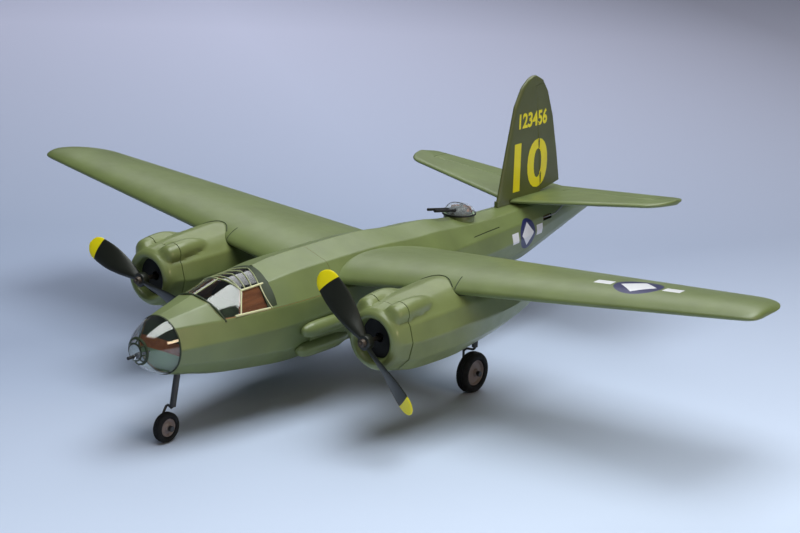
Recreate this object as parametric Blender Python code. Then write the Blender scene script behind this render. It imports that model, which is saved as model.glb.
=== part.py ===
"""Radio-controlled scale model of a twin-engine warbird bomber, as an assembly.

The nose points to -Y, the left wing to +X and up is +Z; the wheels stand on z = 0.
All dimensions below are in millimetres, and MM turns them into metres.
"left" and "right" are the pilot's own.
"""

import math

import bmesh
import bpy
from mathutils import Matrix, Vector

MM = 0.001
GAP = 0.3
SIDES = (("left", 1), ("right", -1))

# Fuselage: y, centre height, half width, half height.
FUSELAGE = (
    (-322.0, 92.3, 26.9, 26.9),
    (-308.5, 92.3, 30.2, 30.2),
    (-290.5, 92.6, 34.2, 34.2),
    (-271.5, 92.8, 38.6, 38.6),
    (-252.5, 93.2, 42.4, 42.2),
    (-204.5, 92.9, 47.8, 47.8),
    (-180.0, 93.4, 48.7, 50.3),
    (-136.5, 94.0, 48.8, 51.0),
    (-54.5, 94.0, 48.8, 51.0),
    (8.5, 92.6, 46.0, 46.9),
    (49.5, 94.0, 43.0, 44.0),
    (84.5, 93.4, 39.5, 40.2),
    (150.0, 93.8, 33.0, 34.2),
    (206.5, 95.6, 26.6, 32.3),
    (220.5, 96.3, 25.0, 31.8),
    (272.5, 102.0, 18.5, 25.8),
    (311.5, 105.5, 14.0, 19.8),
    (360.5, 107.2, 8.0, 9.5),
)
LONGERON_Z = 111.0
RIDGE = 1.017
SHELL = 2.4
GLAZING = 1.0
TAIL_WALL = 9.0

# Hatch over the battery bay, with the canopy in it.
HATCH_FRONT, HATCH_REAR, HATCH_SILL = -276.2, -131.0, 112.0
WINDOW_FRONT, WINDOW_REAR, WINDOW_SILL = -272.6, -209.0, 114.5
HATCH_LEAN = 0.36

# Clear nose cone: the front part of a longer blunt shape.
CONE_START_Y, CONE_LENGTH = -308.8, 46.0
CONE_BASE_Z, CONE_TIP_Z = 92.0, 92.5
CONE_RADIUS, CONE_POWER, CONE_ROUND = 30.0, 1.45, 0.56
CONE_FROM, CONE_TO = 0.2935, 0.94
CONE_CAP = 2.2
CONE_WALL = 1.2
CONE_STEPS = 6
CONE_SIDES = 20
GUN_TIP_Y, GUN_Z = -360.5, 88.6

# Gun pods: distance from the centre line, height, radius, front, rear.
GUN_PODS = {
    "upper": (49.5, 83.5, 7.8, -188.0, -112.0),
    "lower": (42.5, 63.0, 8.0, -187.0, -118.0),
}

# Wing panels: straight taper from the root, rounded tip, dihedral.
HALF_SPAN = 447.0
WING_INNER = 22.0
WING_Z, WING_RISE = 115.0, 0.087
WING_LEAD, WING_LEAD_SLOPE = -132.5, 0.150
WING_TRAIL, WING_TRAIL_SLOPE = 32.3, -0.055
TIP_START, TIP_Y = 404.0, -47.5
THICKNESS, CAMBER, CAMBER_AT = 0.14, 0.04, 0.4
TRAILING_EDGE = 0.004
FOIL_STEPS = 9

JOINER_REACH, JOINER_Y, JOINER_THICK, JOINER_TALL = 80.0, -70.0, 4.0, 9.0

AILERON_INNER, AILERON_OUTER = 232.0, 396.0
AILERON_HINGE_INNER, AILERON_HINGE_OUTER = -8.5, -11.5
AILERON_BEVEL = math.radians(30.0)

# Tail surfaces.
STAB_Z, STAB_RISE = 130.4, 0.107
STAB_LEAD, STAB_LEAD_SLOPE = 206.2, 0.20
STAB_TRAIL, STAB_TRAIL_SLOPE = 311.4, -0.12
STAB_HALF_SPAN, STAB_ROUND = 173.0, 148.0
STAB_HALF_THICK = 2.5
ELEVATOR_INNER, ELEVATOR_OUTER = 24.0, 148.0
ELEVATOR_HINGE_INNER, ELEVATOR_HINGE_OUTER = 280.0, 266.5
FIN_BASE = 133.3
FIN_TOP = 265.4
FIN_HALF_THICK = 2.5
RUDDER_HINGE_BASE, RUDDER_HINGE_TOP = 265.5, 249.0
RUDDER_BASE_Z, RUDDER_TOP_Z = 134.8, 254.0

# Nacelles: y, centre height, half width, half height.
NACELLE_X = 142.0
NACELLE = (
    (-190.0, 99.3, 29.5, 29.5),
    (-182.5, 99.0, 31.2, 31.2),
    (-165.5, 98.6, 34.0, 35.0),
    (-128.5, 99.0, 35.0, 37.5),
    (-98.5, 99.8, 35.5, 38.0),
    (-75.5, 98.5, 34.0, 34.0),
    (-35.5, 98.0, 30.0, 29.0),
    (-3.5, 99.5, 26.0, 24.8),
    (24.5, 102.0, 20.0, 21.0),
    (42.5, 106.0, 12.0, 13.0),
    (52.5, 109.5, 4.0, 4.5),
)
SEAM_Y = -180.5
COWL_SIDES = 20
SCOOP_TURN = math.radians(33.0)
# Scoop: y, distance of its centre from the thrust line, radius.
SCOOP = (
    (-194.5, 27.0, 5.5),
    (-192.5, 28.5, 8.5),
    (-188.0, 29.5, 10.0),
    (-165.0, 32.5, 9.8),
    (-150.0, 32.2, 8.4),
    (-138.0, 30.5, 5.5),
    (-130.0, 28.0, 3.0),
)

# Power train on the thrust line.
THRUST_Z = 99.5
PROP_Y = -207.5
PROP_RADIUS = 76.2
PROP_TURNS = {"left": 2.35, "right": 2.83}
HUB_RADIUS, HUB_HALF = 7.0, 3.8
SHAFT_RADIUS, SHAFT_BORE = 1.5, 1.8
MOTOR_RADIUS, MOTOR_FRONT, MOTOR_REAR = 13.8, -181.5, -140.0
# Blade: radius from the axis, chord, thickness, pitch in degrees.
BLADE = (
    (5.5, 8.0, 3.4, 46.0),
    (14.0, 13.0, 3.6, 44.0),
    (28.0, 19.0, 2.8, 36.0),
    (44.0, 23.5, 2.3, 28.0),
    (60.0, 23.5, 1.9, 22.0),
    (69.0, 20.0, 1.6, 20.0),
    (74.0, 13.0, 1.3, 19.0),
    (76.2, 5.0, 1.0, 18.0),
)

# Undercarriage.
MAIN_X, MAIN_Y, MAIN_RADIUS, MAIN_HALF = 124.0, -20.0, 20.5, 6.5
MAIN_LEG_X, MAIN_LEG_Y, MAIN_LEG_FOOT, MAIN_LEG_TOP = 125.5, -19.5, 46.5, 84.0
NOSE_X, NOSE_Y, NOSE_RADIUS, NOSE_HALF = 3.0, -317.5, 14.0, 4.5
NOSE_LEG_Y, NOSE_LEG_Z, NOSE_LEG_LEAN = -306.5, 30.0, 0.2
LEG_RADIUS, WIRE_RADIUS = 3.0, 1.25
AXLE_BORE, COLLAR_RADIUS = 1.31, 2.7
WHEEL_SIDES = 24

# Dorsal turret.
TURRET_Y, TURRET_RADIUS, TURRET_RING_TOP = 116.5, 18.6, 134.5
TURRET_DOME_HEIGHT = 11.0
DOME_SIDES, DOME_STEPS, DOME_WALL = 20, 5, 1.0
GUN_X, GUN_RISE, GUN_REACH = 4.5, 0.16, 49.0

# Radio gear.
TRAY_Z, TRAY_THICK = 60.5, 3.0
SERVO_X, SERVO_Y, SERVO_ARM_Z = 14.0, -25.0, 91.0
SERVO_ARM, TILLER, ELEVATOR_HORN = 9.0, 10.0, 13.0
STEERING_ARM = 12.0
AILERON_SERVO_X, AILERON_ARM_Y, AILERON_ARM_Z = 250.0, -50.0, 138.0
AILERON_ARM, AILERON_HORN = 12.0, 15.0
ROD_RADIUS = 0.8

# Waist slot that lets the cooling air out.
SLOT_FRONT, SLOT_REAR, SLOT_LOW, SLOT_HIGH = 104.0, 157.0, 114.4, 116.8


def clear_scene():
    for obj in list(bpy.data.objects):
        bpy.data.objects.remove(obj, do_unlink=True)


def material(name, colour, roughness, metallic=0.0):
    made = bpy.data.materials.new(name)
    made.use_nodes = True
    shader = made.node_tree.nodes["Principled BSDF"]
    shader.inputs["Base Color"].default_value = (*colour, 1.0)
    shader.inputs["Roughness"].default_value = roughness
    shader.inputs["Metallic"].default_value = metallic
    made.diffuse_color = (*colour, 1.0)
    return made


def make_materials():
    return {
        "skin": material("olive_skin", (0.19, 0.24, 0.13), 0.5),
        "cowl": material("olive_plastic", (0.18, 0.23, 0.12), 0.4),
        "black": material("black_plastic", (0.02, 0.02, 0.02), 0.35),
        "clear": material("clear_plastic", (0.75, 0.8, 0.8), 0.08),
        "rubber": material("black_rubber", (0.02, 0.02, 0.02), 0.75),
        "leg": material("grey_leg", (0.25, 0.26, 0.27), 0.45, 0.4),
        "steel": material("steel_wire", (0.55, 0.56, 0.58), 0.3, 1.0),
        "hub": material("grey_hub", (0.4, 0.38, 0.37), 0.5),
        "ply": material("birch_ply", (0.62, 0.47, 0.3), 0.65),
        "radio": material("radio_case", (0.05, 0.06, 0.09), 0.45),
        "battery": material("battery_wrap", (0.08, 0.16, 0.4), 0.35),
        "nylon": material("white_nylon", (0.85, 0.85, 0.82), 0.45),
        "motor": material("motor_can", (0.6, 0.6, 0.62), 0.3, 1.0),
    }


# ---------------------------------------------------------------- mesh helpers


def blend(stations, y):
    """The row of a station table at y, on a smooth curve through its neighbours."""
    last = len(stations) - 1
    at = max(0, min(last - 1, sum(row[0] <= y for row in stations) - 1))
    rows = [stations[max(0, min(last, at + step))] for step in (-1, 0, 1, 2)]
    width = rows[2][0] - rows[1][0]
    share = max(0.0, min(1.0, (y - rows[1][0]) / width))
    result = []
    for before, start, end, after in zip(*(row[1:] for row in rows)):
        slope_in = (end - before) / max(1e-6, rows[2][0] - rows[0][0]) * width
        slope_out = (after - start) / max(1e-6, rows[3][0] - rows[1][0]) * width
        square, cube = share**2, share**3
        result.append(
            (2 * cube - 3 * square + 1) * start
            + (cube - 2 * square + share) * slope_in
            + (3 * square - 2 * cube) * end
            + (cube - square) * slope_out
        )
    return result


def unique(points):
    return list(dict.fromkeys(points))


def loft(rings, closed=False):
    """A skin through rings of points; a ring of one point is a tip, and two tips stay apart."""
    bm = bmesh.new()
    rows = [[bm.verts.new(point) for point in ring] for ring in rings]
    pairs = list(zip(rows, rows[1:]))
    if closed:
        pairs.append((rows[-1], rows[0]))
    for first, second in pairs:
        count = max(len(first), len(second))
        if count == 1:
            continue
        for i in range(count):
            j = (i + 1) % count
            corners = [first[i % len(first)], first[j % len(first)]]
            corners += [second[j % len(second)], second[i % len(second)]]
            bm.faces.new(unique(corners))
    if not closed:
        for row in (rows[0], rows[-1]):
            if len(row) > 2:
                bm.faces.new(row)
    return bm


def frame_of(axis):
    """Two directions across an axis."""
    along = Vector(axis).normalized()
    helper = Vector((0, 0, 1)) if abs(along.z) < 0.9 else Vector((1, 0, 0))
    first = helper.cross(along).normalized()
    return first, along.cross(first)


def circle(centre, radius, axis, sides):
    if radius <= 0:
        return [Vector(centre)]
    first, second = frame_of(axis)
    turns = [math.tau * k / sides for k in range(sides)]
    return [
        Vector(centre) + radius * (math.cos(t) * first + math.sin(t) * second)
        for t in turns
    ]


def turned(profile, centre, axis, sides, closed=False):
    """A turned solid: profile rows are distance along the axis and radius."""
    along = Vector(axis).normalized()
    rings = [
        circle(Vector(centre) + along * distance, radius, axis, sides)
        for distance, radius in profile
    ]
    return loft(rings, closed)


def cylinder(start, end, radius, sides=16):
    axis = Vector(end) - Vector(start)
    return turned(((0, radius), (axis.length, radius)), start, axis, sides)


def rod(points, radius, sides=8):
    """A round wire through points, mitred at its bends."""
    points = [Vector(point) for point in points]
    runs = [(b - a).normalized() for a, b in zip(points, points[1:])]
    aims = [runs[0]]
    aims += [(a + b).normalized() for a, b in zip(runs, runs[1:])]
    aims.append(runs[-1])
    side = frame_of(aims[0])[0]
    rings = []
    for point, aim in zip(points, aims):
        side = (side - side.dot(aim) * aim).normalized()
        other = aim.cross(side)
        rings.append(
            [
                point + radius * (math.cos(t) * side + math.sin(t) * other)
                for t in (math.tau * k / sides for k in range(sides))
            ]
        )
    return loft(rings)


def block(low, high):
    low, high = Vector(low), Vector(high)
    corners = [(low.x, low.y), (high.x, low.y), (high.x, high.y), (low.x, high.y)]
    return loft([[Vector((x, y, z)) for x, y in corners] for z in (low.z, high.z)])


def upright_ring(x, y, z, half_width, half_height, sides, turn=0.0):
    """An ellipse of points standing across the Y axis."""
    turns = [turn + math.tau * k / sides for k in range(sides)]
    return [
        Vector((x + half_width * math.cos(t), y, z + half_height * math.sin(t)))
        for t in turns
    ]


def add_object(name, bm, skin, origin=(0, 0, 0)):
    """An object from a bmesh in millimetres, with its own origin point."""
    bmesh.ops.recalc_face_normals(bm, faces=bm.faces)
    if bm.calc_volume(signed=True) < 0:
        bmesh.ops.reverse_faces(bm, faces=bm.faces)
    bmesh.ops.translate(bm, vec=-Vector(origin), verts=bm.verts)
    bmesh.ops.scale(bm, vec=(MM, MM, MM), verts=bm.verts)
    mesh = bpy.data.meshes.new(name)
    bm.to_mesh(mesh)
    bm.free()
    if skin:
        mesh.materials.append(skin)
    mesh.shade_smooth()
    mesh.set_sharp_from_angle(angle=math.radians(28))
    obj = bpy.data.objects.new(name, mesh)
    obj.location = Vector(origin) * MM
    bpy.context.scene.collection.objects.link(obj)
    return obj


def tool(name, bm):
    """A helper solid that only cuts, limits or joins another."""
    obj = add_object("tool_" + name, bm, None)
    obj.hide_render = True
    obj.display_type = "WIRE"
    return obj


def combine(obj, operation, helper):
    modifier = obj.modifiers.new(operation.lower(), "BOOLEAN")
    modifier.operation = operation
    modifier.solver = "EXACT"
    modifier.object = helper


def cut(obj, *helpers):
    for helper in helpers:
        combine(obj, "DIFFERENCE", helper)


def join(obj, *helpers):
    for helper in helpers:
        combine(obj, "UNION", helper)


def limit(obj, helper):
    combine(obj, "INTERSECT", helper)


def hinge_frame(start, end):
    """Matrix whose columns run along the hinge, back from it and up from it."""
    along = (Vector(end) - Vector(start)).normalized()
    helper = Vector((0, 1, 0))
    back = (helper - helper.dot(along) * along).normalized()
    up = along.cross(back)
    matrix = Matrix((along, back, up)).transposed().to_4x4()
    matrix.translation = Vector(start)
    return matrix


def hinge_prism(start, end, outline, extra):
    """An outline (back, up) drawn along a hinge and past both ends by extra."""
    matrix = hinge_frame(start, end)
    length = (Vector(end) - Vector(start)).length
    rings = [
        [matrix @ Vector((along, back, up)) for back, up in outline]
        for along in (-extra, length + extra)
    ]
    return loft(rings)


def rounded_front(radius, reach, height):
    """Outline of a surface whose front is a half circle about its hinge."""
    turns = [math.radians(90 + 180 * k / 8) for k in range(9)]
    front = [(radius * math.cos(t), radius * math.sin(t)) for t in turns]
    return [(reach, height), (0.4, height), *front, (0.4, -height), (reach, -height)]


# ---------------------------------------------------------------- fuselage


def plank_turns(lift):
    """Where the plank edges lie round the section, for an upper longeron at lift."""
    upper = [0.0, lift, (lift + 90.0) / 2, 90.0]
    mirrored = [180.0 - turn for turn in reversed(upper[:-1])]
    return upper + mirrored + [210.0, 240.0, 260.0, 280.0, 300.0, 330.0]


def fuselage_ring(y, offset=0.0):
    """Planks between straight longerons, with a narrow flat strip along the belly."""
    centre, half_width, half_height = blend(FUSELAGE, y)
    lift = math.degrees(math.asin((LONGERON_Z - centre) / half_height))
    width = (half_width + offset) * RIDGE
    height = (half_height + offset) * RIDGE
    ring = []
    for turn in plank_turns(lift):
        t = math.radians(turn)
        ring.append(Vector((width * math.cos(t), y, centre + height * math.sin(t))))
    return ring


def fuselage_levels(first, last):
    """Every station and the middle of each long bay, but none in the flat belly."""
    levels = []
    for (y, *_), (after, *_) in zip(FUSELAGE, FUSELAGE[1:]):
        levels.append(y)
        if (y, after) != (-136.5, -54.5) and after - y > 30:
            levels.append((y + after) / 2)
    levels.append(FUSELAGE[-1][0])
    return [first] + [y for y in levels if first < y < last] + [last]


def fuselage_solid(offset, first, last):
    return loft([fuselage_ring(y, offset) for y in fuselage_levels(first, last)])


def fuselage_tools():
    front, rear = FUSELAGE[0][0], FUSELAGE[-1][0]
    return {
        "inner": tool("inner", fuselage_solid(-SHELL, front - 20, rear - TAIL_WALL)),
        "around": tool("around", fuselage_solid(GAP, front - 20, rear + 20)),
        "glass": tool("glass", fuselage_solid(-GLAZING, front - 20, rear - TAIL_WALL)),
        "plate": tool("plate", fuselage_solid(1.6, front - 20, rear + 20)),
    }


def hatch_block(name, gap, sill, front, rear):
    """A block whose front face leans forward as it rises from the sill."""
    rings = []
    for z in (sill + gap, 200.0):
        face = front + gap - HATCH_LEAN * (z - sill)
        corners = ((-70, face), (70, face), (70, rear - gap), (-70, rear - gap))
        rings.append([Vector((x, y, z)) for x, y in corners])
    return tool(name, loft(rings))


def make_fuselage(mats, shells):
    front, rear = FUSELAGE[0][0], FUSELAGE[-1][0]
    body = add_object("fuselage", fuselage_solid(0, front, rear), mats["skin"])
    cut(body, shells["inner"])
    cut(body, hatch_block("hatch_hole", 0, HATCH_SILL, HATCH_FRONT, HATCH_REAR))
    cut(body, joiner_tool("joiner_slots", GAP))
    cut(body, tool("stab_slot", stabiliser_solid(GAP)))
    leg_top, leg_foot = nose_leg_point(75), nose_leg_point(50)
    cut(body, tool("leg_hole", cylinder(leg_foot, leg_top, LEG_RADIUS + 0.8)))
    post_top, post_foot = rudder_post(136), rudder_post(121)
    cut(body, tool("post_hole", cylinder(post_foot, post_top, 2.6)))
    for side, sign in SIDES:
        slot_x = sorted((sign * 25, sign * 45))
        low = (slot_x[0], SLOT_FRONT, SLOT_LOW)
        high = (slot_x[1], SLOT_REAR, SLOT_HIGH)
        cut(body, tool("air_slot_" + side, block(low, high)))
        fork_x = sorted((sign * 10, sign * 30))
        low = (fork_x[0], 246, 101)
        high = (fork_x[1], 272, 114)
        cut(body, tool("fork_slot_" + side, block(low, high)))


def make_hatch(mats, shells):
    origin = (0, HATCH_REAR, HATCH_SILL)
    front, rear = FUSELAGE[0][0], FUSELAGE[-1][0]
    hatch = add_object("canopy_hatch", fuselage_solid(0, front, rear), mats["skin"], origin)
    cut(hatch, shells["inner"])
    limit(hatch, hatch_block("hatch_limit", GAP, HATCH_SILL, HATCH_FRONT, HATCH_REAR))
    cut(hatch, hatch_block("window_hole", 0, WINDOW_SILL, WINDOW_FRONT, WINDOW_REAR))
    glass = add_object("canopy_glazing", fuselage_solid(0, front, rear), mats["clear"], origin)
    cut(glass, shells["glass"])
    limit(glass, hatch_block("glass_limit", GAP, WINDOW_SILL, WINDOW_FRONT, WINDOW_REAR))


def cone_ring(share, wall):
    y = CONE_START_Y - share * CONE_LENGTH
    z = CONE_BASE_Z + share * (CONE_TIP_Z - CONE_BASE_Z)
    radius = CONE_RADIUS * (1 - share**CONE_POWER) ** CONE_ROUND - wall
    return upright_ring(0, y, z, radius, radius, CONE_SIDES)


def make_nose(mats):
    turns = [math.pi / 2 * k / CONE_STEPS for k in range(CONE_STEPS + 1)]
    shares = [CONE_FROM + (CONE_TO - CONE_FROM) * math.sin(turn) for turn in turns]
    outer = [cone_ring(share, 0) for share in shares]
    inner = [cone_ring(share, CONE_WALL) for share in reversed(shares)]
    tip = Vector((0, CONE_START_Y - CONE_TO * CONE_LENGTH - CONE_CAP, CONE_TIP_Z))
    tips = [[tip], [tip + Vector((0, CONE_WALL, 0))]]
    cone = add_object("nose_cone", loft(outer + tips + inner, closed=True), mats["clear"])
    hole = cylinder((0, GUN_TIP_Y, GUN_Z), (0, -348, GUN_Z), 1.9, 12)
    cut(cone, tool("gun_hole", hole))
    profile = ((0, 0), (0, 1.5), (9.5, 1.5), (11, 2.6), (13.5, 3.0), (16, 2.4), (18, 1.2))
    profile += ((26, 1.2), (26, 0))
    gun = turned(profile, (0, GUN_TIP_Y, GUN_Z), (0, 1, 0), 12)
    add_object("nose_gun", gun, mats["black"])


def pod_solid(sign, x, z, radius, front, rear):
    """A gun pod: blunt round nose, straight barrel fairing, tapered tail."""
    rows = ((0, 0.25), (2, 0.62), (6, 0.88), (13, 1.0), (40, 1.0))
    rings = [
        upright_ring(sign * x, front + step, z, radius * share, radius * share, 12)
        for step, share in rows
    ]
    rings.append(upright_ring(sign * x, rear, z, radius * 0.55, radius * 0.55, 12))
    return loft(rings)


def make_gun_pods(mats, shells):
    for side, sign in SIDES:
        xs = sorted((sign * 30, sign * 60))
        plate = block((xs[0], -172, 61), (xs[1], -122, 84))
        pods = add_object("gun_pods_" + side, plate, mats["skin"])
        limit(pods, shells["plate"])
        for name, (x, z, radius, front, rear) in GUN_PODS.items():
            pod = pod_solid(sign, x, z, radius, front, rear)
            join(pods, tool(f"pod_{name}_{side}", pod))
        cut(pods, shells["around"])


# ---------------------------------------------------------------- wing


def foil_heights(share):
    """Upper and lower surface of the wing section, as shares of its chord."""
    curve = 0.2969 * math.sqrt(share) - 0.126 * share - 0.3516 * share**2
    curve += 0.2843 * share**3 - 0.1015 * share**4
    half = 5 * THICKNESS * curve + TRAILING_EDGE * share
    if share < CAMBER_AT:
        line = CAMBER / CAMBER_AT**2 * (2 * CAMBER_AT * share - share**2)
    else:
        line = 1 - 2 * CAMBER_AT + 2 * CAMBER_AT * share - share**2
        line *= CAMBER / (1 - CAMBER_AT) ** 2
    return line + half, line - half


def wing_edges(x):
    """Leading and trailing edge at a distance x from the centre line."""
    lead = WING_LEAD + WING_LEAD_SLOPE * x
    trail = WING_TRAIL + WING_TRAIL_SLOPE * x
    if x > TIP_START:
        share = min(1.0, (x - TIP_START) / (HALF_SPAN - TIP_START))
        lead += (TIP_Y - lead) * (1 - max(0.0, 1 - share**12) ** (1 / 3))
        trail += (TIP_Y - trail) * (1 - max(0.0, 1 - share**2.5) ** (1 / 3))
    return lead, trail


def wing_ring(sign, x, pad):
    lead, trail = wing_edges(x)
    chord = trail - lead
    plane = WING_Z + WING_RISE * x
    shares = [(1 - math.cos(math.pi * k / FOIL_STEPS)) / 2 for k in range(FOIL_STEPS + 1)]
    upper, lower = [], []
    for share in shares:
        high, low = foil_heights(share)
        y = lead - pad + share * (chord + 2 * pad)
        upper.append(Vector((sign * x, y, plane + high * chord + pad)))
        lower.append(Vector((sign * x, y, plane + low * chord - pad)))
    if pad == 0:
        upper = upper[1:]
    return lower + upper[::-1]


def wing_solid(sign, pad=0.0, inner=WING_INNER):
    span = HALF_SPAN - TIP_START
    tips = [TIP_START + span * share for share in (0.35, 0.65, 0.85, 0.95, 0.985, 0.998)]
    return loft([wing_ring(sign, x, pad) for x in (inner, TIP_START, *tips)])


def joiner_tool(name, gap):
    return tool(name, joiner_solid(gap))


def joiner_solid(gap):
    """The V-shaped plywood brace that carries both wing panels."""
    half_thick, half_tall = JOINER_THICK / 2 + gap, JOINER_TALL / 2 + gap
    corners = ((-1, -1), (1, -1), (1, 1), (-1, 1))
    rings = []
    for x in (-JOINER_REACH - gap, 0.0, JOINER_REACH + gap):
        z = WING_Z + JOINER_TALL / 2 + WING_RISE * abs(x)
        rings.append(
            [Vector((x, JOINER_Y + a * half_thick, z + b * half_tall)) for a, b in corners]
        )
    return loft(rings)


def surface_top(x, y):
    lead, trail = wing_edges(x)
    chord = trail - lead
    return WING_Z + WING_RISE * x + chord * foil_heights((y - lead) / chord)[0]


def aileron_hinge(sign):
    ends = ((AILERON_INNER, AILERON_HINGE_INNER), (AILERON_OUTER, AILERON_HINGE_OUTER))
    points = [Vector((sign * x, y, surface_top(x, y) - 0.3)) for x, y in ends]
    return points if sign > 0 else points[::-1]


def aileron_outline(gap):
    """Top-hinged front, bevelled below so that the aileron can swing down."""
    depth = 40.0
    if gap:
        return [(60, depth), (-gap, depth), (-gap, -depth), (60, -depth)]
    bevel = depth * math.tan(AILERON_BEVEL)
    return [(60, depth), (0, depth), (0, 0), (bevel, -depth), (60, -depth)]


def make_wings(mats, shells):
    joiner = joiner_tool("joiner_pocket", GAP)
    add_object("wing_joiner", joiner_solid(0), mats["ply"])
    for side, sign in SIDES:
        start, end = aileron_hinge(sign)
        wing = add_object("wing_" + side, wing_solid(sign), mats["skin"])
        notch = hinge_prism(start, end, aileron_outline(0.4), 0.5)
        cut(wing, shells["around"], joiner, tool("aileron_notch_" + side, notch))
        make_aileron_gear(mats, side, sign, wing)

        aileron = add_object("aileron_" + side, wing_solid(sign), mats["skin"], start)
        wedge = hinge_prism(start, end, aileron_outline(0), 0)
        limit(aileron, tool("aileron_limit_" + side, wedge))
        horn_y = AILERON_HINGE_INNER
        arm_x = sorted((sign * (AILERON_SERVO_X + 6.9), sign * (AILERON_SERVO_X + 8.3)))
        horn_top = AILERON_ARM_Z + 2
        tip_z = surface_top(AILERON_SERVO_X, horn_y) - AILERON_HORN - 2
        profile = ((horn_y + 9, horn_top), (horn_y + 4.5, horn_top - 5), (horn_y - 1.2, tip_z + 2))
        profile += ((horn_y + 0.5, tip_z), (horn_y + 2.5, tip_z), (horn_y + 15, horn_top))
        horn = loft([[Vector((x, y, z)) for y, z in profile] for x in arm_x])
        join(aileron, tool("aileron_horn_" + side, horn))


def make_aileron_gear(mats, side, sign, wing):
    """The servo sunk in the wing's underside, its arm and the rod to the horn."""
    low_x, high_x = sorted((sign * (AILERON_SERVO_X - 6), sign * (AILERON_SERVO_X + 6)))
    low, high = Vector((low_x, -62, 132.6)), Vector((high_x, -39, 143.4))
    pad = Vector((GAP, GAP, GAP))
    pocket = block(low - pad - Vector((0, 0, 12)), high + pad)
    cut(wing, tool("servo_pocket_" + side, pocket))
    add_object("aileron_servo_" + side, block(low, high), mats["radio"])

    arm_x = [sign * (AILERON_SERVO_X + 6.6), sign * (AILERON_SERVO_X + 7.9)]
    slot_x = sorted((sign * (AILERON_SERVO_X + 5), sign * (AILERON_SERVO_X + 10)))
    slot = block((slot_x[0], -62, 118), (slot_x[1], -37, 142))
    cut(wing, tool("arm_slot_" + side, slot))
    pivot = Vector((arm_x[0], AILERON_ARM_Y, AILERON_ARM_Z))
    outline = [(2.8 * math.cos(t), 2.8 * math.sin(t)) for t in (math.pi * k / 5 for k in range(6))]
    outline += [(-1.6, -AILERON_ARM - 1.2), (1.6, -AILERON_ARM - 1.2)]
    arm = loft([[Vector((x, pivot.y + a, pivot.z + b)) for a, b in outline] for x in arm_x])
    add_object("aileron_arm_" + side, arm, mats["nylon"], pivot)

    rod_x = sign * (AILERON_SERVO_X + 9.2)
    rod_z = AILERON_ARM_Z - AILERON_ARM
    horn_z = surface_top(AILERON_SERVO_X, AILERON_HINGE_INNER) - AILERON_HORN
    path = ((rod_x, AILERON_ARM_Y - 1.5, rod_z), (rod_x, AILERON_HINGE_INNER + 1.5, horn_z))
    add_object("aileron_pushrod_" + side, rod(path, ROD_RADIUS), mats["steel"], path[0])


# ---------------------------------------------------------------- tail


def slab_section(lead, trail, half, pad=0.0):
    """Half outline of a sheet surface: rounded front, flat sides, tapered back."""
    chord = trail - lead
    half = min(half, 0.22 * chord)
    front = min(6.0, 0.3 * chord)
    back = min(32.0, 0.45 * chord)
    return (
        (lead - pad, 0.25 * half + pad),
        (lead + 0.25 * front, 0.68 * half + pad),
        (lead + front, half + pad),
        (trail - back, half + pad),
        (trail + pad, 0.26 * half + pad),
    )


def stab_edges(x):
    lead = STAB_LEAD + STAB_LEAD_SLOPE * x
    trail = STAB_TRAIL + STAB_TRAIL_SLOPE * x
    if x > STAB_ROUND:
        share = (x - STAB_ROUND) / (STAB_HALF_SPAN - STAB_ROUND)
        middle = 0.35 * lead + 0.65 * trail
        lead += (middle - lead) * (1 - math.sqrt(1 - share**2.4))
        trail += (middle - trail) * (1 - math.sqrt(1 - share**4.5))
    return lead, trail


def stabiliser_solid(pad=0.0):
    span = STAB_HALF_SPAN - STAB_ROUND
    tips = [STAB_ROUND + span * share for share in (0.45, 0.75, 0.93, 0.995)]
    half_levels = [STAB_ROUND, *tips]
    levels = [-x for x in reversed(half_levels)] + [0.0] + half_levels
    if pad:
        levels = [-40.0, 0.0, 40.0]
    rings = []
    for x in levels:
        z = STAB_Z + STAB_RISE * abs(x)
        half = slab_section(*stab_edges(abs(x)), STAB_HALF_THICK, pad)
        over = [Vector((x, y, z + h)) for y, h in half]
        under = [Vector((x, y, z - h)) for y, h in half]
        rings.append(over + under[::-1])
    return loft(rings)


def elevator_hinge(sign):
    ends = ((ELEVATOR_INNER, ELEVATOR_HINGE_INNER), (ELEVATOR_OUTER, ELEVATOR_HINGE_OUTER))
    points = [Vector((sign * x, y, STAB_Z + STAB_RISE * x)) for x, y in ends]
    return points if sign > 0 else points[::-1]


def make_stabiliser(mats):
    stab = add_object("stabiliser", stabiliser_solid(), mats["skin"])
    cut(stab, tool("post_hole_stab", cylinder(rudder_post(123), rudder_post(139), 2.4)))
    for side, sign in SIDES:
        start, end = elevator_hinge(sign)
        back = STAB_HALF_THICK + 0.4
        box = [(80, 30), (-back, 30), (-back, -30), (80, -30)]
        cut(stab, tool("elevator_notch_" + side, hinge_prism(start, end, box, 0.5)))
        elevator = add_object("elevator_" + side, stabiliser_solid(), mats["skin"], start)
        outline = rounded_front(STAB_HALF_THICK, 80, 30)
        limit(elevator, tool("elevator_limit_" + side, hinge_prism(start, end, outline, 0)))
        horn_x = sorted((sign * 26.6, sign * 28.0))
        z = STAB_Z + STAB_RISE * 27
        y = ELEVATOR_HINGE_INNER - 0.3
        profile = ((y - 1.0, z - 1), (y - 1.6, z - ELEVATOR_HORN - 1.5))
        profile += ((y + 1.6, z - ELEVATOR_HORN - 1.5), (y + 9, z - 1))
        horn = loft([[Vector((x, a, b)) for a, b in profile] for x in horn_x])
        join(elevator, tool("elevator_horn_" + side, horn))


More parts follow.
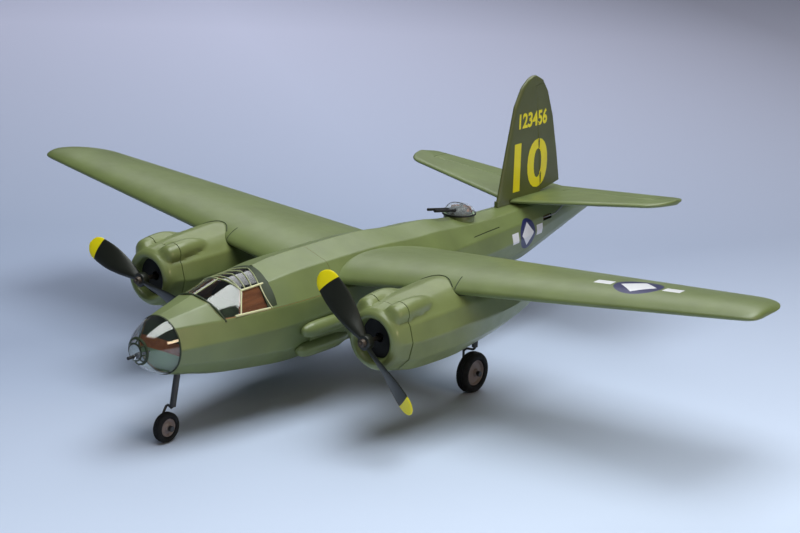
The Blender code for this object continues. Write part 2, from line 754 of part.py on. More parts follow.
# Fin edges: height, y.
FIN_LEAD = (
    (133.0, 184.0),
    (188.1, 197.3),
    (234.8, 209.1),
    (254.0, 220.7),
    (262.6, 232.0),
    (265.4, 241.5),
)
FIN_TRAIL = (
    (133.0, 304.3),
    (174.0, 295.0),
    (216.0, 283.9),
    (245.5, 271.8),
    (259.2, 261.2),
    (265.4, 247.5),
)


def along_table(table, z):
    for (low, first), (high, second) in zip(table, table[1:]):
        if z <= high:
            return first + (second - first) * (z - low) / (high - low)
    return table[-1][1]


def fin_solid():
    levels = (FIN_BASE, 174.0, 216.0, 234.8, 245.5, 254.0, 259.2, 262.6, FIN_TOP)
    rings = []
    for z in levels:
        lead, trail = along_table(FIN_LEAD, z), along_table(FIN_TRAIL, z)
        half = slab_section(lead, trail, FIN_HALF_THICK)
        over = [Vector((h, y, z)) for y, h in half]
        under = [Vector((-h, y, z)) for y, h in half]
        rings.append(over + under[::-1])
    return loft(rings)


def rudder_hinge():
    slope = (RUDDER_HINGE_TOP - RUDDER_HINGE_BASE) / (RUDDER_TOP_Z - RUDDER_BASE_Z)
    base = Vector((0, RUDDER_HINGE_BASE, RUDDER_BASE_Z))
    return base, base + Vector((0, slope, 1)) * (RUDDER_TOP_Z - RUDDER_BASE_Z)


def rudder_post(z):
    base, top = rudder_hinge()
    return base + (top - base) * (z - base.z) / (top.z - base.z)


def make_fin(mats, shells):
    base, top = rudder_hinge()
    fin = add_object("fin", fin_solid(), mats["skin"])
    back = FIN_HALF_THICK + 0.4
    box = [(80, 30), (-back, 30), (-back, -30), (80, -30)]
    foot = block((-2.2, FIN_LEAD[0][1] - 0.8, 125), (2.2, STAB_LEAD - 0.6, FIN_BASE + 1))
    join(fin, tool("fin_foot", foot))
    cut(fin, shells["around"])
    notch_base = rudder_post(120)
    cut(fin, tool("rudder_notch", hinge_prism(notch_base, top, box, 0.5)))
    rudder = add_object("rudder", fin_solid(), mats["skin"], base)
    outline = rounded_front(FIN_HALF_THICK, 80, 30)
    limit(rudder, tool("rudder_limit", hinge_prism(base, top, outline, 0)))
    post = cylinder(rudder_post(109.5), rudder_post(140), 1.6, 12)
    join(rudder, tool("rudder_post", post))
    arm_at = rudder_post(112)
    low = (-TILLER - 1.8, arm_at.y - 1.8, 111.2)
    high = (0.6, arm_at.y + 1.8, 112.8)
    join(rudder, tool("tiller", block(low, high)))


# ---------------------------------------------------------------- engines


def nacelle_solid(sign, levels):
    rings = []
    for y in levels:
        z, half_width, half_height = blend(NACELLE, y)
        rings.append(
            upright_ring(sign * NACELLE_X, y, z, half_width, half_height, COWL_SIDES)
        )
    return loft(rings)


def scoop_solid(sign, turn):
    rings = []
    for y, reach, radius in SCOOP:
        x = sign * NACELLE_X + reach * math.sin(turn)
        z = THRUST_Z - 1 + reach * math.cos(turn)
        rings.append(upright_ring(x, y, z, radius, radius, 12))
    return loft(rings)


def make_engines(mats):
    levels = [row[0] for row in NACELLE]
    for side, sign in SIDES:
        centre = (sign * NACELLE_X, 0, THRUST_Z)
        scoops = [
            tool(f"scoop_{side}_{k}", scoop_solid(sign, turn))
            for k, turn in enumerate((SCOOP_TURN, -SCOOP_TURN))
        ]
        x = sign * NACELLE_X
        ahead = tool("ahead_" + side, block((x - 60, -230, 30), (x + 60, SEAM_Y + GAP / 2, 170)))
        behind = tool("behind_" + side, block((x - 60, SEAM_Y - GAP / 2, 30), (x + 60, -60, 170)))

        nacelle = add_object("nacelle_" + side, nacelle_solid(sign, levels), mats["skin"])
        join(nacelle, *scoops)
        cut(nacelle, ahead)
        hollow = ((-190, 0), (-190, 28), (-176, 28), (-176, 14.1), (-172.5, 14.1))
        hollow += ((-172.5, 26.0), (-128, 26.0), (-128, 0))
        cut(nacelle, tool("motor_bay_" + side, turned(hollow, centre, (0, 1, 0), 24)))
        cut(nacelle, tool("wing_saddle_" + side, wing_solid(sign, GAP, 60.0)))
        leg_low = (sign * MAIN_LEG_X, MAIN_LEG_Y, 40)
        leg_high = (sign * MAIN_LEG_X, MAIN_LEG_Y, MAIN_LEG_TOP + 2)
        cut(nacelle, tool("leg_pocket_" + side, cylinder(leg_low, leg_high, LEG_RADIUS + 0.8)))

        outer = ((-200.5, 22.5), (-199, 26), (-195.5, 28.6), (-188, 30.2), (-178, 31.8))
        shape = turned(outer, centre, (0, 1, 0), COWL_SIDES)
        cowl = add_object("cowl_" + side, shape, mats["cowl"])
        join(cowl, *scoops)
        cut(cowl, behind)
        bore = ((-204, 21.0), (-200.4, 20.6), (-198, 18.6), (-195, 18.0), (-189, 18.0))
        bore += ((-189, 27.0), (-176, 28.0))
        cut(cowl, tool("cowl_bore_" + side, turned(bore, centre, (0, 1, 0), COWL_SIDES)))

        disc = ((-188.6, 4.5), (-188.6, 26.0), (-183.2, 26.6), (-183.2, 4.5))
        ring = turned(disc, centre, (0, 1, 0), COWL_SIDES, closed=True)
        add_object("dummy_engine_" + side, ring, mats["black"])
        can = ((MOTOR_FRONT, 0), (MOTOR_FRONT, 5), (-179.5, 5), (-179.5, 12.6))
        can += ((-178, MOTOR_RADIUS),)
        can += ((MOTOR_REAR - 2, MOTOR_RADIUS), (MOTOR_REAR, 12.4), (MOTOR_REAR, 0))
        add_object("motor_" + side, turned(can, centre, (0, 1, 0), 20), mats["motor"])
        make_propeller(mats, side, centre)


def blade_solid(centre, turn):
    """A twisted blade: the sections lie across the radius and turn with pitch."""
    radial = Vector((math.cos(turn), 0, math.sin(turn)))
    around = Vector((math.sin(turn), 0, -math.cos(turn)))
    rings = []
    for radius, chord, thick, pitch in BLADE:
        angle = math.radians(pitch)
        across = around * math.cos(angle) + Vector((0, 1, 0)) * math.sin(angle)
        normal = across.cross(radial)
        if normal.y > 0:
            normal = -normal
        shape = ((-0.5, 0), (-0.36, 0.62), (-0.12, 1), (0.2, 0.8), (0.5, 0.12))
        shape += ((0.5, -0.1), (0.1, -0.12), (-0.36, -0.2))
        rings.append(
            [
                centre + radial * radius + across * (a * chord) + normal * (b * thick)
                for a, b in shape
            ]
        )
    return loft(rings)


def make_propeller(mats, side, centre):
    middle = Vector(centre) + Vector((0, PROP_Y, 0))
    hub = ((-HUB_HALF, SHAFT_BORE), (-HUB_HALF, HUB_RADIUS - 1.2), (-HUB_HALF + 1.2, HUB_RADIUS))
    hub += ((HUB_HALF, HUB_RADIUS), (HUB_HALF, SHAFT_BORE))
    ring = turned(hub, middle, (0, 1, 0), 20, closed=True)
    propeller = add_object("propeller_" + side, ring, mats["black"], middle)
    for k in range(2):
        turn = PROP_TURNS[side] + k * math.pi
        join(propeller, tool(f"blade_{side}_{k}", blade_solid(middle, turn)))
    nut, plate = -HUB_HALF - GAP, HUB_HALF + GAP
    end = MOTOR_FRONT - PROP_Y - GAP
    profile = ((nut - 5.5, 0), (nut - 5.5, SHAFT_RADIUS), (nut - 3.6, SHAFT_RADIUS))
    profile += ((nut - 3.2, 3.4), (nut, 4.2), (nut, SHAFT_RADIUS), (plate, SHAFT_RADIUS))
    profile += ((plate, 5.0), (plate + 1.6, 5.0), (plate + 1.6, 2.2), (end, 2.2), (end, 0))
    shaft = turned(profile, middle, (0, 1, 0), 16)
    add_object("prop_shaft_" + side, shaft, mats["steel"], middle)


# ---------------------------------------------------------------- undercarriage


def make_wheel(mats, name, centre, radius, half, rim):
    """A hub and its tyre, both turned about the axle."""
    centre = Vector(centre)
    face = half * 0.9
    hub = ((-face, AXLE_BORE), (-face, 3.8), (-half * 0.5, rim - 1.8), (-half * 0.7, rim))
    hub += tuple((-a, b) for a, b in reversed(hub))
    ring = turned(hub, centre, (1, 0, 0), WHEEL_SIDES, closed=True)
    add_object(name.replace("wheel", "hub"), ring, mats["hub"], centre)
    bead = rim + GAP
    wall = radius - bead
    tyre = ((-half * 0.72, bead), (-half, bead + 0.3 * wall), (-half, bead + 0.55 * wall))
    tyre += ((-half * 0.72, radius - 0.14 * wall), (-half * 0.3, radius))
    tyre += tuple((-a, b) for a, b in reversed(tyre))
    ring = turned(tyre, centre, (1, 0, 0), WHEEL_SIDES, closed=True)
    add_object(name.replace("wheel", "tyre"), ring, mats["rubber"], centre)


def make_main_gear(mats):
    for side, sign in SIDES:
        x = sign * MAIN_LEG_X
        tube = cylinder((x, MAIN_LEG_Y, MAIN_LEG_FOOT), (x, MAIN_LEG_Y, MAIN_LEG_TOP), LEG_RADIUS)
        leg = add_object("main_leg_" + side, tube, mats["leg"])
        inner = sign * (MAIN_X - MAIN_HALF - 4.5)
        outer = sign * (MAIN_X + MAIN_HALF + 3.0)
        path = (
            (x, MAIN_LEG_Y, MAIN_LEG_FOOT + 4),
            (x, MAIN_LEG_Y, MAIN_LEG_FOOT - 1.5),
            (x - sign * 2, MAIN_LEG_Y, MAIN_LEG_FOOT - 3),
            (inner + sign * 3, MAIN_LEG_Y - 0.5, MAIN_LEG_FOOT - 3.6),
            (inner, MAIN_LEG_Y - 1, MAIN_LEG_FOOT - 6.5),
            (inner, MAIN_Y, MAIN_RADIUS + 2.0),
            (inner + sign * 2.0, MAIN_Y, MAIN_RADIUS),
            (outer, MAIN_Y, MAIN_RADIUS),
        )
        join(leg, tool("main_wire_" + side, rod(path, WIRE_RADIUS, 12)))
        start = (outer - sign * 2.4, MAIN_Y, MAIN_RADIUS)
        end = (outer + sign * 0.4, MAIN_Y, MAIN_RADIUS)
        join(leg, tool("main_collar_" + side, cylinder(start, end, COLLAR_RADIUS, 12)))
        centre = (sign * MAIN_X, MAIN_Y, MAIN_RADIUS)
        make_wheel(mats, "main_wheel_" + side, centre, MAIN_RADIUS, MAIN_HALF, 12.6)


def nose_leg_point(z):
    return Vector((0, NOSE_LEG_Y + NOSE_LEG_LEAN * (z - NOSE_LEG_Z), z))


def make_nose_gear(mats):
    foot, top = nose_leg_point(NOSE_LEG_Z), nose_leg_point(91)
    leg = add_object("nose_leg", cylinder(foot, top, LEG_RADIUS, 20), mats["leg"], foot)
    inner = NOSE_X - NOSE_HALF - 4.2
    outer = NOSE_X + NOSE_HALF + 3.0
    path = (
        nose_leg_point(NOSE_LEG_Z + 4),
        nose_leg_point(NOSE_LEG_Z - 0.5),
        (-1.5, foot.y - 0.2, NOSE_LEG_Z - 1.6),
        (inner + 1.5, foot.y - 1.5, NOSE_LEG_Z + 1.0),
        (inner, foot.y - 2.5, NOSE_LEG_Z - 0.5),
        (inner, NOSE_Y, NOSE_RADIUS + 2.0),
        (inner + 2.0, NOSE_Y, NOSE_RADIUS),
        (outer, NOSE_Y, NOSE_RADIUS),
    )
    join(leg, tool("nose_wire", rod(path, WIRE_RADIUS, 12)))
    start, end = (outer - 2.4, NOSE_Y, NOSE_RADIUS), (outer + 0.4, NOSE_Y, NOSE_RADIUS)
    join(leg, tool("nose_collar", cylinder(start, end, COLLAR_RADIUS, 12)))
    arm = nose_leg_point(86)
    low = (-STEERING_ARM - 1.8, arm.y - 2, 85.2)
    join(leg, tool("steering_arm", block(low, (0.5, arm.y + 2, 86.8))))
    make_wheel(mats, "nose_wheel", (NOSE_X, NOSE_Y, NOSE_RADIUS), NOSE_RADIUS, NOSE_HALF, 8.4)

    middle = nose_leg_point(74)
    shape = block(middle - Vector((9, 7, 6)), middle + Vector((9, 8, 7)))
    bearing = add_object("nose_gear_block", shape, mats["ply"])
    bore = cylinder(nose_leg_point(60), nose_leg_point(90), LEG_RADIUS + 0.1, 20)
    cut(bearing, tool("bearing_bore", bore))


# ---------------------------------------------------------------- turret


def make_turret(mats, shells):
    base = (0, TURRET_Y, TURRET_RING_TOP)
    edge = TURRET_RADIUS + 0.8
    ring = ((-14, 14.5), (-14, edge), (-1.2, edge), (0, TURRET_RADIUS - 0.4))
    ring += ((0, 15.4), (-1.5, 14.5))
    shape = turned(ring, base, (0, 0, 1), 24, closed=True)
    holder = add_object("turret_ring", shape, mats["black"])
    cut(holder, shells["around"])

    dome = add_object("turret_dome", dome_solid(base), mats["clear"], base)

    aim = Vector((0, -1, GUN_RISE)).normalized()
    plate = turned(((0.7, 14.0), (2.2, 14.0)), base, (0, 0, 1), 24)
    guns = add_object("turret_guns", plate, mats["black"], base)
    for side, sign in SIDES:
        breech = Vector((sign * GUN_X, TURRET_Y, TURRET_RING_TOP + 3.2))
        join(guns, tool("barrel_" + side, cylinder(breech, breech + aim * GUN_REACH, 1.5, 10)))
        cradle = block(breech - Vector((2.2, 4, 1.6)), breech + Vector((2.2, 5, 2.2)))
        join(guns, tool("cradle_" + side, cradle))
        hole = cylinder(breech + aim * 8, breech + aim * 26, 2.0, 12)
        cut(dome, tool("barrel_hole_" + side, hole))


def dome_solid(base):
    """A thin dome, open below: its outer and inner skins meet at the rim."""
    turns = [math.pi / 2 * k / DOME_STEPS for k in range(DOME_STEPS + 1)]
    rows = []
    for wall in (0.0, DOME_WALL):
        height, radius = TURRET_DOME_HEIGHT - wall, TURRET_RADIUS - 0.9 - wall
        skin = [(GAP + height * math.sin(t), radius * math.cos(t)) for t in turns[:-1]]
        skin.append((GAP + height, 0.0))
        rows.append(skin)
    return turned(rows[0] + rows[1][::-1], base, (0, 0, 1), DOME_SIDES, closed=True)


# ---------------------------------------------------------------- radio gear


def make_radio(mats):
    inner = tool("tray_limit", fuselage_solid(-SHELL - GAP, FUSELAGE[0][0] - 20, 300))
    sheet = block((-60, -250, TRAY_Z), (60, 6, TRAY_Z + TRAY_THICK))
    tray = add_object("radio_tray", sheet, mats["ply"])
    limit(tray, inner)
    floor = TRAY_Z + TRAY_THICK + GAP
    add_object("battery", block((-17, -235, floor), (17, -135, floor + 26)), mats["battery"])
    add_object("speed_controller", block((-12, -126, floor), (12, -84, floor + 9)), mats["radio"])
    add_object("receiver", block((-10, -78, floor), (10, -42, floor + 12)), mats["radio"])

    for name, sign in (("rudder_servo", -1), ("elevator_servo", 1)):
        x = sign * SERVO_X
        shape = block((x - 6, SERVO_Y - 6, floor), (x + 6, SERVO_Y + 17, floor + 23))
        case = add_object(name, shape, mats["radio"])
        pivot = Vector((x, SERVO_Y, SERVO_ARM_Z))
        boss = cylinder(pivot - Vector((0, 0, 6)), pivot - Vector((0, 0, 0.4)), 3.0, 12)
        join(case, tool(name + "_boss", boss))
        reach = SERVO_ARM + 1.8
        inside = reach if name == "rudder_servo" else 3.0
        outside = reach
        ends = sorted((x - sign * inside, x + sign * outside))
        arm = block((ends[0], SERVO_Y - 2, SERVO_ARM_Z), (ends[1], SERVO_Y + 2, SERVO_ARM_Z + 1.5))
        add_object(name + "_arm", arm, mats["nylon"], pivot)

    rod_z = SERVO_ARM_Z + 1.5 + 0.4 + ROD_RADIUS
    tiller_end = rudder_post(112) + Vector((-TILLER, 0, 1.6 + ROD_RADIUS))
    path = (
        (-SERVO_X - SERVO_ARM, SERVO_Y - 1, rod_z),
        (-SERVO_X - SERVO_ARM, 40, rod_z),
        (-TILLER, 215, tiller_end.z),
        tiller_end,
    )
    add_object("rudder_pushrod", rod(path, ROD_RADIUS), mats["steel"], path[0])

    path = (
        (-SERVO_X + SERVO_ARM, SERVO_Y + 1, rod_z),
        (-SERVO_X + SERVO_ARM, SERVO_Y - 12, rod_z),
        (-24, -120, 86),
        (-24, -262, 86),
        (-STEERING_ARM, -285, 89.0),
        (-STEERING_ARM, nose_leg_point(86).y, 89.0),
    )
    add_object("steering_pushrod", rod(path, ROD_RADIUS), mats["steel"], path[0])

    fork = (0, 228, 104)
    path = ((SERVO_X + SERVO_ARM, SERVO_Y - 1, rod_z), (SERVO_X + SERVO_ARM, 40, rod_z), fork)
    pushrod = add_object("elevator_pushrod", rod(path, ROD_RADIUS), mats["steel"], path[0])
    horn_z = STAB_Z + STAB_RISE * 27 - ELEVATOR_HORN
    for side, sign in SIDES:
        prong = (
            (0, 226, 103.95),
            (sign * 10, 243, 104),
            (sign * 24.6, 262, 112),
            (sign * 24.6, ELEVATOR_HINGE_INNER + 1, horn_z),
        )
        join(pushrod, tool("prong_" + side, rod(prong, ROD_RADIUS)))


def main():
    clear_scene()
    mats = make_materials()
    shells = fuselage_tools()
    make_fuselage(mats, shells)
    make_hatch(mats, shells)
    make_nose(mats)
    make_gun_pods(mats, shells)
    make_wings(mats, shells)
    make_stabiliser(mats)
    make_fin(mats, shells)
    make_engines(mats)
    make_main_gear(mats)
    make_nose_gear(mats)
    make_turret(mats, shells)
    make_radio(mats)


main()
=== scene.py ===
"""Looks for the twin-engine warbird model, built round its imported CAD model.

Lengths are in millimetres in the model's own frame: the nose points to -Y, the left
wing to +X, up is +Z and the wheels stand on z = 0. MM turns them into metres.
"""

import math

import bmesh
import bpy
from mathutils import Matrix, Vector


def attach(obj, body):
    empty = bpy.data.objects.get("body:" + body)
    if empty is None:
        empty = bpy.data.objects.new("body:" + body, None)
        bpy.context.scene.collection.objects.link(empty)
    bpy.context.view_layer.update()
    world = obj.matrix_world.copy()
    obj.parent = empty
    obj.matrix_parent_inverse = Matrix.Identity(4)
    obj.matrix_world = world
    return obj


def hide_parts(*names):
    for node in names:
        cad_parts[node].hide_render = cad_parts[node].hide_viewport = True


MM = 0.001
GAP = 0.3
SIDES = (("left", 1), ("right", -1))
OUT, AFT, UP = (1, 0, 0), (0, 1, 0), (0, 0, 1)

# Fuselage: y, centre height, half width, half height.
FUSELAGE = (
    (-322.0, 92.3, 26.9, 26.9),
    (-308.5, 92.3, 30.2, 30.2),
    (-290.5, 92.6, 34.2, 34.2),
    (-271.5, 92.8, 38.6, 38.6),
    (-252.5, 93.2, 42.4, 42.2),
    (-204.5, 92.9, 47.8, 47.8),
    (-180.0, 93.4, 48.7, 50.3),
    (-136.5, 94.0, 48.8, 51.0),
    (-54.5, 94.0, 48.8, 51.0),
    (8.5, 92.6, 46.0, 46.9),
    (49.5, 94.0, 43.0, 44.0),
    (84.5, 93.4, 39.5, 40.2),
    (150.0, 93.8, 33.0, 34.2),
    (206.5, 95.6, 26.6, 32.3),
    (220.5, 96.3, 25.0, 31.8),
    (272.5, 102.0, 18.5, 25.8),
    (311.5, 105.5, 14.0, 19.8),
    (360.5, 107.2, 8.0, 9.5),
)
LONGERON_Z = 111.0
RIDGE = 1.017
RIDGE_ROUND = 1.5
# Ridges below the side's middle, in degrees round from the left side.
LOWER_RIDGES = (210.0, 240.0, 260.0, 280.0, 300.0, 330.0)
SHELL = 2.4
TAIL_WALL = 9.0
STATION_STEP = 4.5

HATCH_FRONT, HATCH_REAR, HATCH_SILL = -276.2, -131.0, 112.0
HATCH_LEAN = 0.36

CONE_START_Y, CONE_LENGTH = -308.8, 46.0
CONE_BASE_Z, CONE_TIP_Z = 92.0, 92.5
CONE_RADIUS, CONE_POWER, CONE_ROUND = 30.0, 1.45, 0.56
CONE_FROM, CONE_TO = 0.2935, 0.94
CONE_WALL = 1.2
GUN_TIP_Y, GUN_Z = -360.5, 88.6

# Gun pods, upper and lower: x, z, radius, front and rear.
GUN_PODS = (
    (49.5, 83.5, 7.8, -188.0, -112.0),
    (42.5, 63.0, 8.0, -187.0, -118.0),
)

HALF_SPAN, WING_INNER = 447.0, 22.0
WING_Z, WING_RISE = 115.0, 0.087
WING_LEAD, WING_LEAD_SLOPE = -132.5, 0.150
WING_TRAIL, WING_TRAIL_SLOPE = 32.3, -0.055
TIP_START, TIP_Y = 404.0, -47.5
THICKNESS, CAMBER, CAMBER_AT = 0.14, 0.04, 0.4
TRAILING_EDGE = 0.004
FOIL_STEPS = 30
AILERON_INNER, AILERON_OUTER = 232.0, 396.0
AILERON_HINGE_INNER, AILERON_HINGE_OUTER = -8.5, -11.5
AILERON_BEVEL = math.radians(30.0)
AILERON_SERVO_X, AILERON_ARM_Z, AILERON_HORN = 250.0, 138.0, 15.0

STAB_Z, STAB_RISE = 130.4, 0.107
STAB_LEAD, STAB_LEAD_SLOPE = 206.2, 0.20
STAB_TRAIL, STAB_TRAIL_SLOPE = 311.4, -0.12
STAB_HALF_SPAN, STAB_ROUND = 173.0, 148.0
STAB_HALF_THICK = 2.5
ELEVATOR_INNER, ELEVATOR_OUTER = 24.0, 148.0
ELEVATOR_HINGE_INNER, ELEVATOR_HINGE_OUTER = 280.0, 266.5
ELEVATOR_HORN = 13.0
FIN_BASE, FIN_TOP, FIN_HALF_THICK = 133.3, 265.4, 2.5
# Edges of the fin seen from the side: z, y.
FIN_LEAD = (
    (133.0, 184.0), (188.1, 197.3), (234.8, 209.1),
    (254.0, 220.7), (262.6, 232.0), (265.4, 241.5),
)
FIN_TRAIL = (
    (133.0, 304.3), (174.0, 295.0), (216.0, 283.9),
    (245.5, 271.8), (259.2, 261.2), (265.4, 247.5),
)
RUDDER_HINGE_BASE, RUDDER_HINGE_TOP = 265.5, 249.0
RUDDER_BASE_Z, RUDDER_TOP_Z = 134.8, 254.0
# Fin numbers: their text, and y and z of the lower front and upper rear corners.
FIN_TEXTS = {
    "number": ("10", (210.5, 139.5), (275.0, 194.5)),
    "serial": ("123456", (217.0, 209.5), (271.5, 226.5)),
}
PAINT_LIFT, PAINT_THICK = 0.03, 0.09

NACELLE_X, THRUST_Z = 142.0, 99.5
# Nacelle: y, centre height, half width, half height.
NACELLE = (
    (-190.0, 99.3, 29.5, 29.5),
    (-182.5, 99.0, 31.2, 31.2),
    (-165.5, 98.6, 34.0, 35.0),
    (-128.5, 99.0, 35.0, 37.5),
    (-98.5, 99.8, 35.5, 38.0),
    (-75.5, 98.5, 34.0, 34.0),
    (-35.5, 98.0, 30.0, 29.0),
    (-3.5, 99.5, 26.0, 24.8),
    (24.5, 102.0, 20.0, 21.0),
    (42.5, 106.0, 12.0, 13.0),
    (52.5, 109.5, 4.0, 4.5),
)
SEAM_Y, SEAM_GAP = -180.5, 0.9
# Where the short slit behind each wing's leading edge starts and ends, across the span.
SLIT_X = {"left": (163.5, 160.0), "right": (117.0, 117.2)}
SCOOP_TURN = math.radians(33.0)
# Raised scoop: y, distance of its middle from the engine's, radius.
SCOOP = (
    (-196.5, 26.0, 1.0),
    (-194.5, 27.0, 5.5),
    (-192.5, 28.5, 8.5),
    (-188.0, 29.5, 10.0),
    (-165.0, 32.5, 9.8),
    (-150.0, 32.2, 8.4),
    (-138.0, 30.5, 5.5),
    (-130.0, 28.0, 3.0),
)
SCOOP_MELT = 0.5
# Cowl: y and radius outside, then inside from the seam to the lip.
COWL = (
    (-200.5, 22.5), (-200.2, 24.0), (-199.0, 26.0),
    (-195.5, 28.6), (-188.0, 30.2), (-178.0, 31.8),
)
COWL_INSIDE = (
    (SEAM_Y - SEAM_GAP / 2, 28.0), (-189, 27.0), (-189, 18.6), (-195, 18.8),
    (-197.5, 19.4), (-199.2, 20.5), (-200.2, 21.6),
)
NACELLE_HOLLOW = (
    (-190, 0), (-190, 28), (-176, 28), (-176, 14.1),
    (-172.5, 14.1), (-172.5, 26.0), (-128, 26.0), (-128, 0),
)
SKIN_SIDES = 120
PLANKS = 12
MAIN_LEG_X = 125.5
PROP_Y, PROP_RADIUS = -207.5, 76.2
PROP_TURNS = {"left": 2.35, "right": 2.83}
HUB_RADIUS, HUB_HALF = 7.0, 3.8
SHAFT_BORE = 1.8
# Blade: radius, chord, thickness, pitch in degrees.
BLADE = (
    (5.5, 8.0, 3.4, 46.0),
    (14.0, 13.0, 3.6, 44.0),
    (28.0, 19.0, 2.8, 36.0),
    (44.0, 23.5, 2.3, 28.0),
    (60.0, 23.5, 1.9, 22.0),
    (69.0, 20.0, 1.6, 20.0),
    (74.0, 13.0, 1.3, 19.0),
    (76.2, 5.0, 1.0, 18.0),
)
BLADE_ROUND, BLADE_CHORD = 62.0, 23.0
TIP_PAINT = 63.7

MAIN_X, MAIN_Y, MAIN_RADIUS, MAIN_HALF, MAIN_RIM = 124.0, -20.0, 20.5, 6.5, 12.6
NOSE_X, NOSE_Y, NOSE_RADIUS, NOSE_HALF, NOSE_RIM = 3.0, -317.5, 14.0, 4.5, 8.4
AXLE_BORE = 1.31

TURRET_Y, TURRET_BASE, TURRET_RING_TOP = 116.5, 133.2, 134.5
DOME_RADIUS, DOME_HEIGHT, DOME_WALL, DOME_POWER = 17.7, 11.5, 0.8, 0.8

# The thin slit in each side behind the wing, and the pushrod openings (y, z).
SLOT_FRONT, SLOT_REAR, SLOT_LOW, SLOT_HIGH = 104.0, 157.0, 115.1, 115.8
ROD_SLOT_LOW, ROD_SLOT_HIGH = (245.5, 105.8), (264.5, 111.2)


# Camera: direction and roll in degrees, distance and target.
CAMERA_TURN, CAMERA_RISE, CAMERA_ROLL = 38.189, 15.779, 1.721
CAMERA_DISTANCE, CAMERA_TARGET = 1890.4, (18.94, -5.5, 103.74)
CAMERA_LENS, CAMERA_SENSOR, CAMERA_REACH = 84.65, 36.0, 60.0

# Area lights, in metres and watts: name, place, aim, size, power, colour.
LIGHTS = (
    ("overhead_softbox", (0.38, 0.05, 2.3), (0.38, 0.05, 0.0), (1.5, 2.6), 64.0, (0.95, 1.0, 0.98)),
    ("side_window", (2.4, -0.3, 0.95), (0.1, -0.2, 0.1), (0.9, 0.4), 11.0, (1.0, 0.76, 0.5)),
    ("back_wash", (-1.4, 2.0, 2.0), (-1.4, 2.0, 0.0), (3.0, 1.8), 27.0, (0.96, 0.97, 1.0)),
)
AIR_STRENGTH = 0.13
FLOOR_SIZE, FLOOR_DROP = 9.0, 0.0003

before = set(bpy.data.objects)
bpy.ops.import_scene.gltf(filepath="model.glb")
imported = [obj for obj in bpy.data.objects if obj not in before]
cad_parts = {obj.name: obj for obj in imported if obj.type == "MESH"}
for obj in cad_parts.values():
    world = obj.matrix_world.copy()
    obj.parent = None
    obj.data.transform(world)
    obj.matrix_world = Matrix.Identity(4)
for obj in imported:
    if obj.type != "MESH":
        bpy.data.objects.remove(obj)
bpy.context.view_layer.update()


def spread(first, last, count):
    """Evenly spaced values from first to last, with count steps between them."""
    return [first + (last - first) * k / count for k in range(count + 1)]


# ---- shader helpers


def linear(red, green, blue):
    """A shader colour from 0-255 display values."""
    values = [c / 255 for c in (red, green, blue)]
    return [c / 12.92 if c <= 0.04045 else ((c + 0.055) / 1.055) ** 2.4 for c in values]


ROUNDEL_BLUE = linear(24, 26, 84)
ROUNDEL_WHITE = linear(226, 226, 232)
OLIVE = linear(108, 121, 70)
OLIVE_CAST = linear(116, 127, 76)
DRAB = linear(42, 54, 26)
YELLOW = linear(250, 232, 14)
AIR = linear(184, 188, 200)
# Floor tones, brighter near and far, darker midway and to the right: painted light falloff and
# painted shade.
FLOOR_NEAR_PAINTED_LIGHT = linear(208, 221, 246)
FLOOR_MID_PAINTED_SHADE = linear(160, 171, 198)
FLOOR_FAR_PAINTED_LIGHT = linear(216, 220, 248)
FLOOR_SIDE_PAINTED_SHADE = linear(128, 128, 142)
FLOOR_SIDE_SHADE_SHARE = 0.8

# Insignia, in metres: its middle (y, z on the fuselage, x, y on the wing), the disc's
# radius, and the middle and size of its bars.
SIDE_MARK = (0.2095, 0.0985, 0.0165, 0.0268, (0.0135, 0.0115))
WING_MARK = (0.320, -0.045, 0.0225, 0.0335, (0.017, 0.012))
WING_MARK_TURN = math.atan(0.1)
DIAMOND_SHARE = 0.78
SOFT_EDGE = 1e-4
ALONG_GRAIN = (1.0, 0.07, 1.0)


def full(value):
    """A colour as a socket takes it."""
    return value if isinstance(value, bpy.types.NodeSocket) else (*value, 1.0)


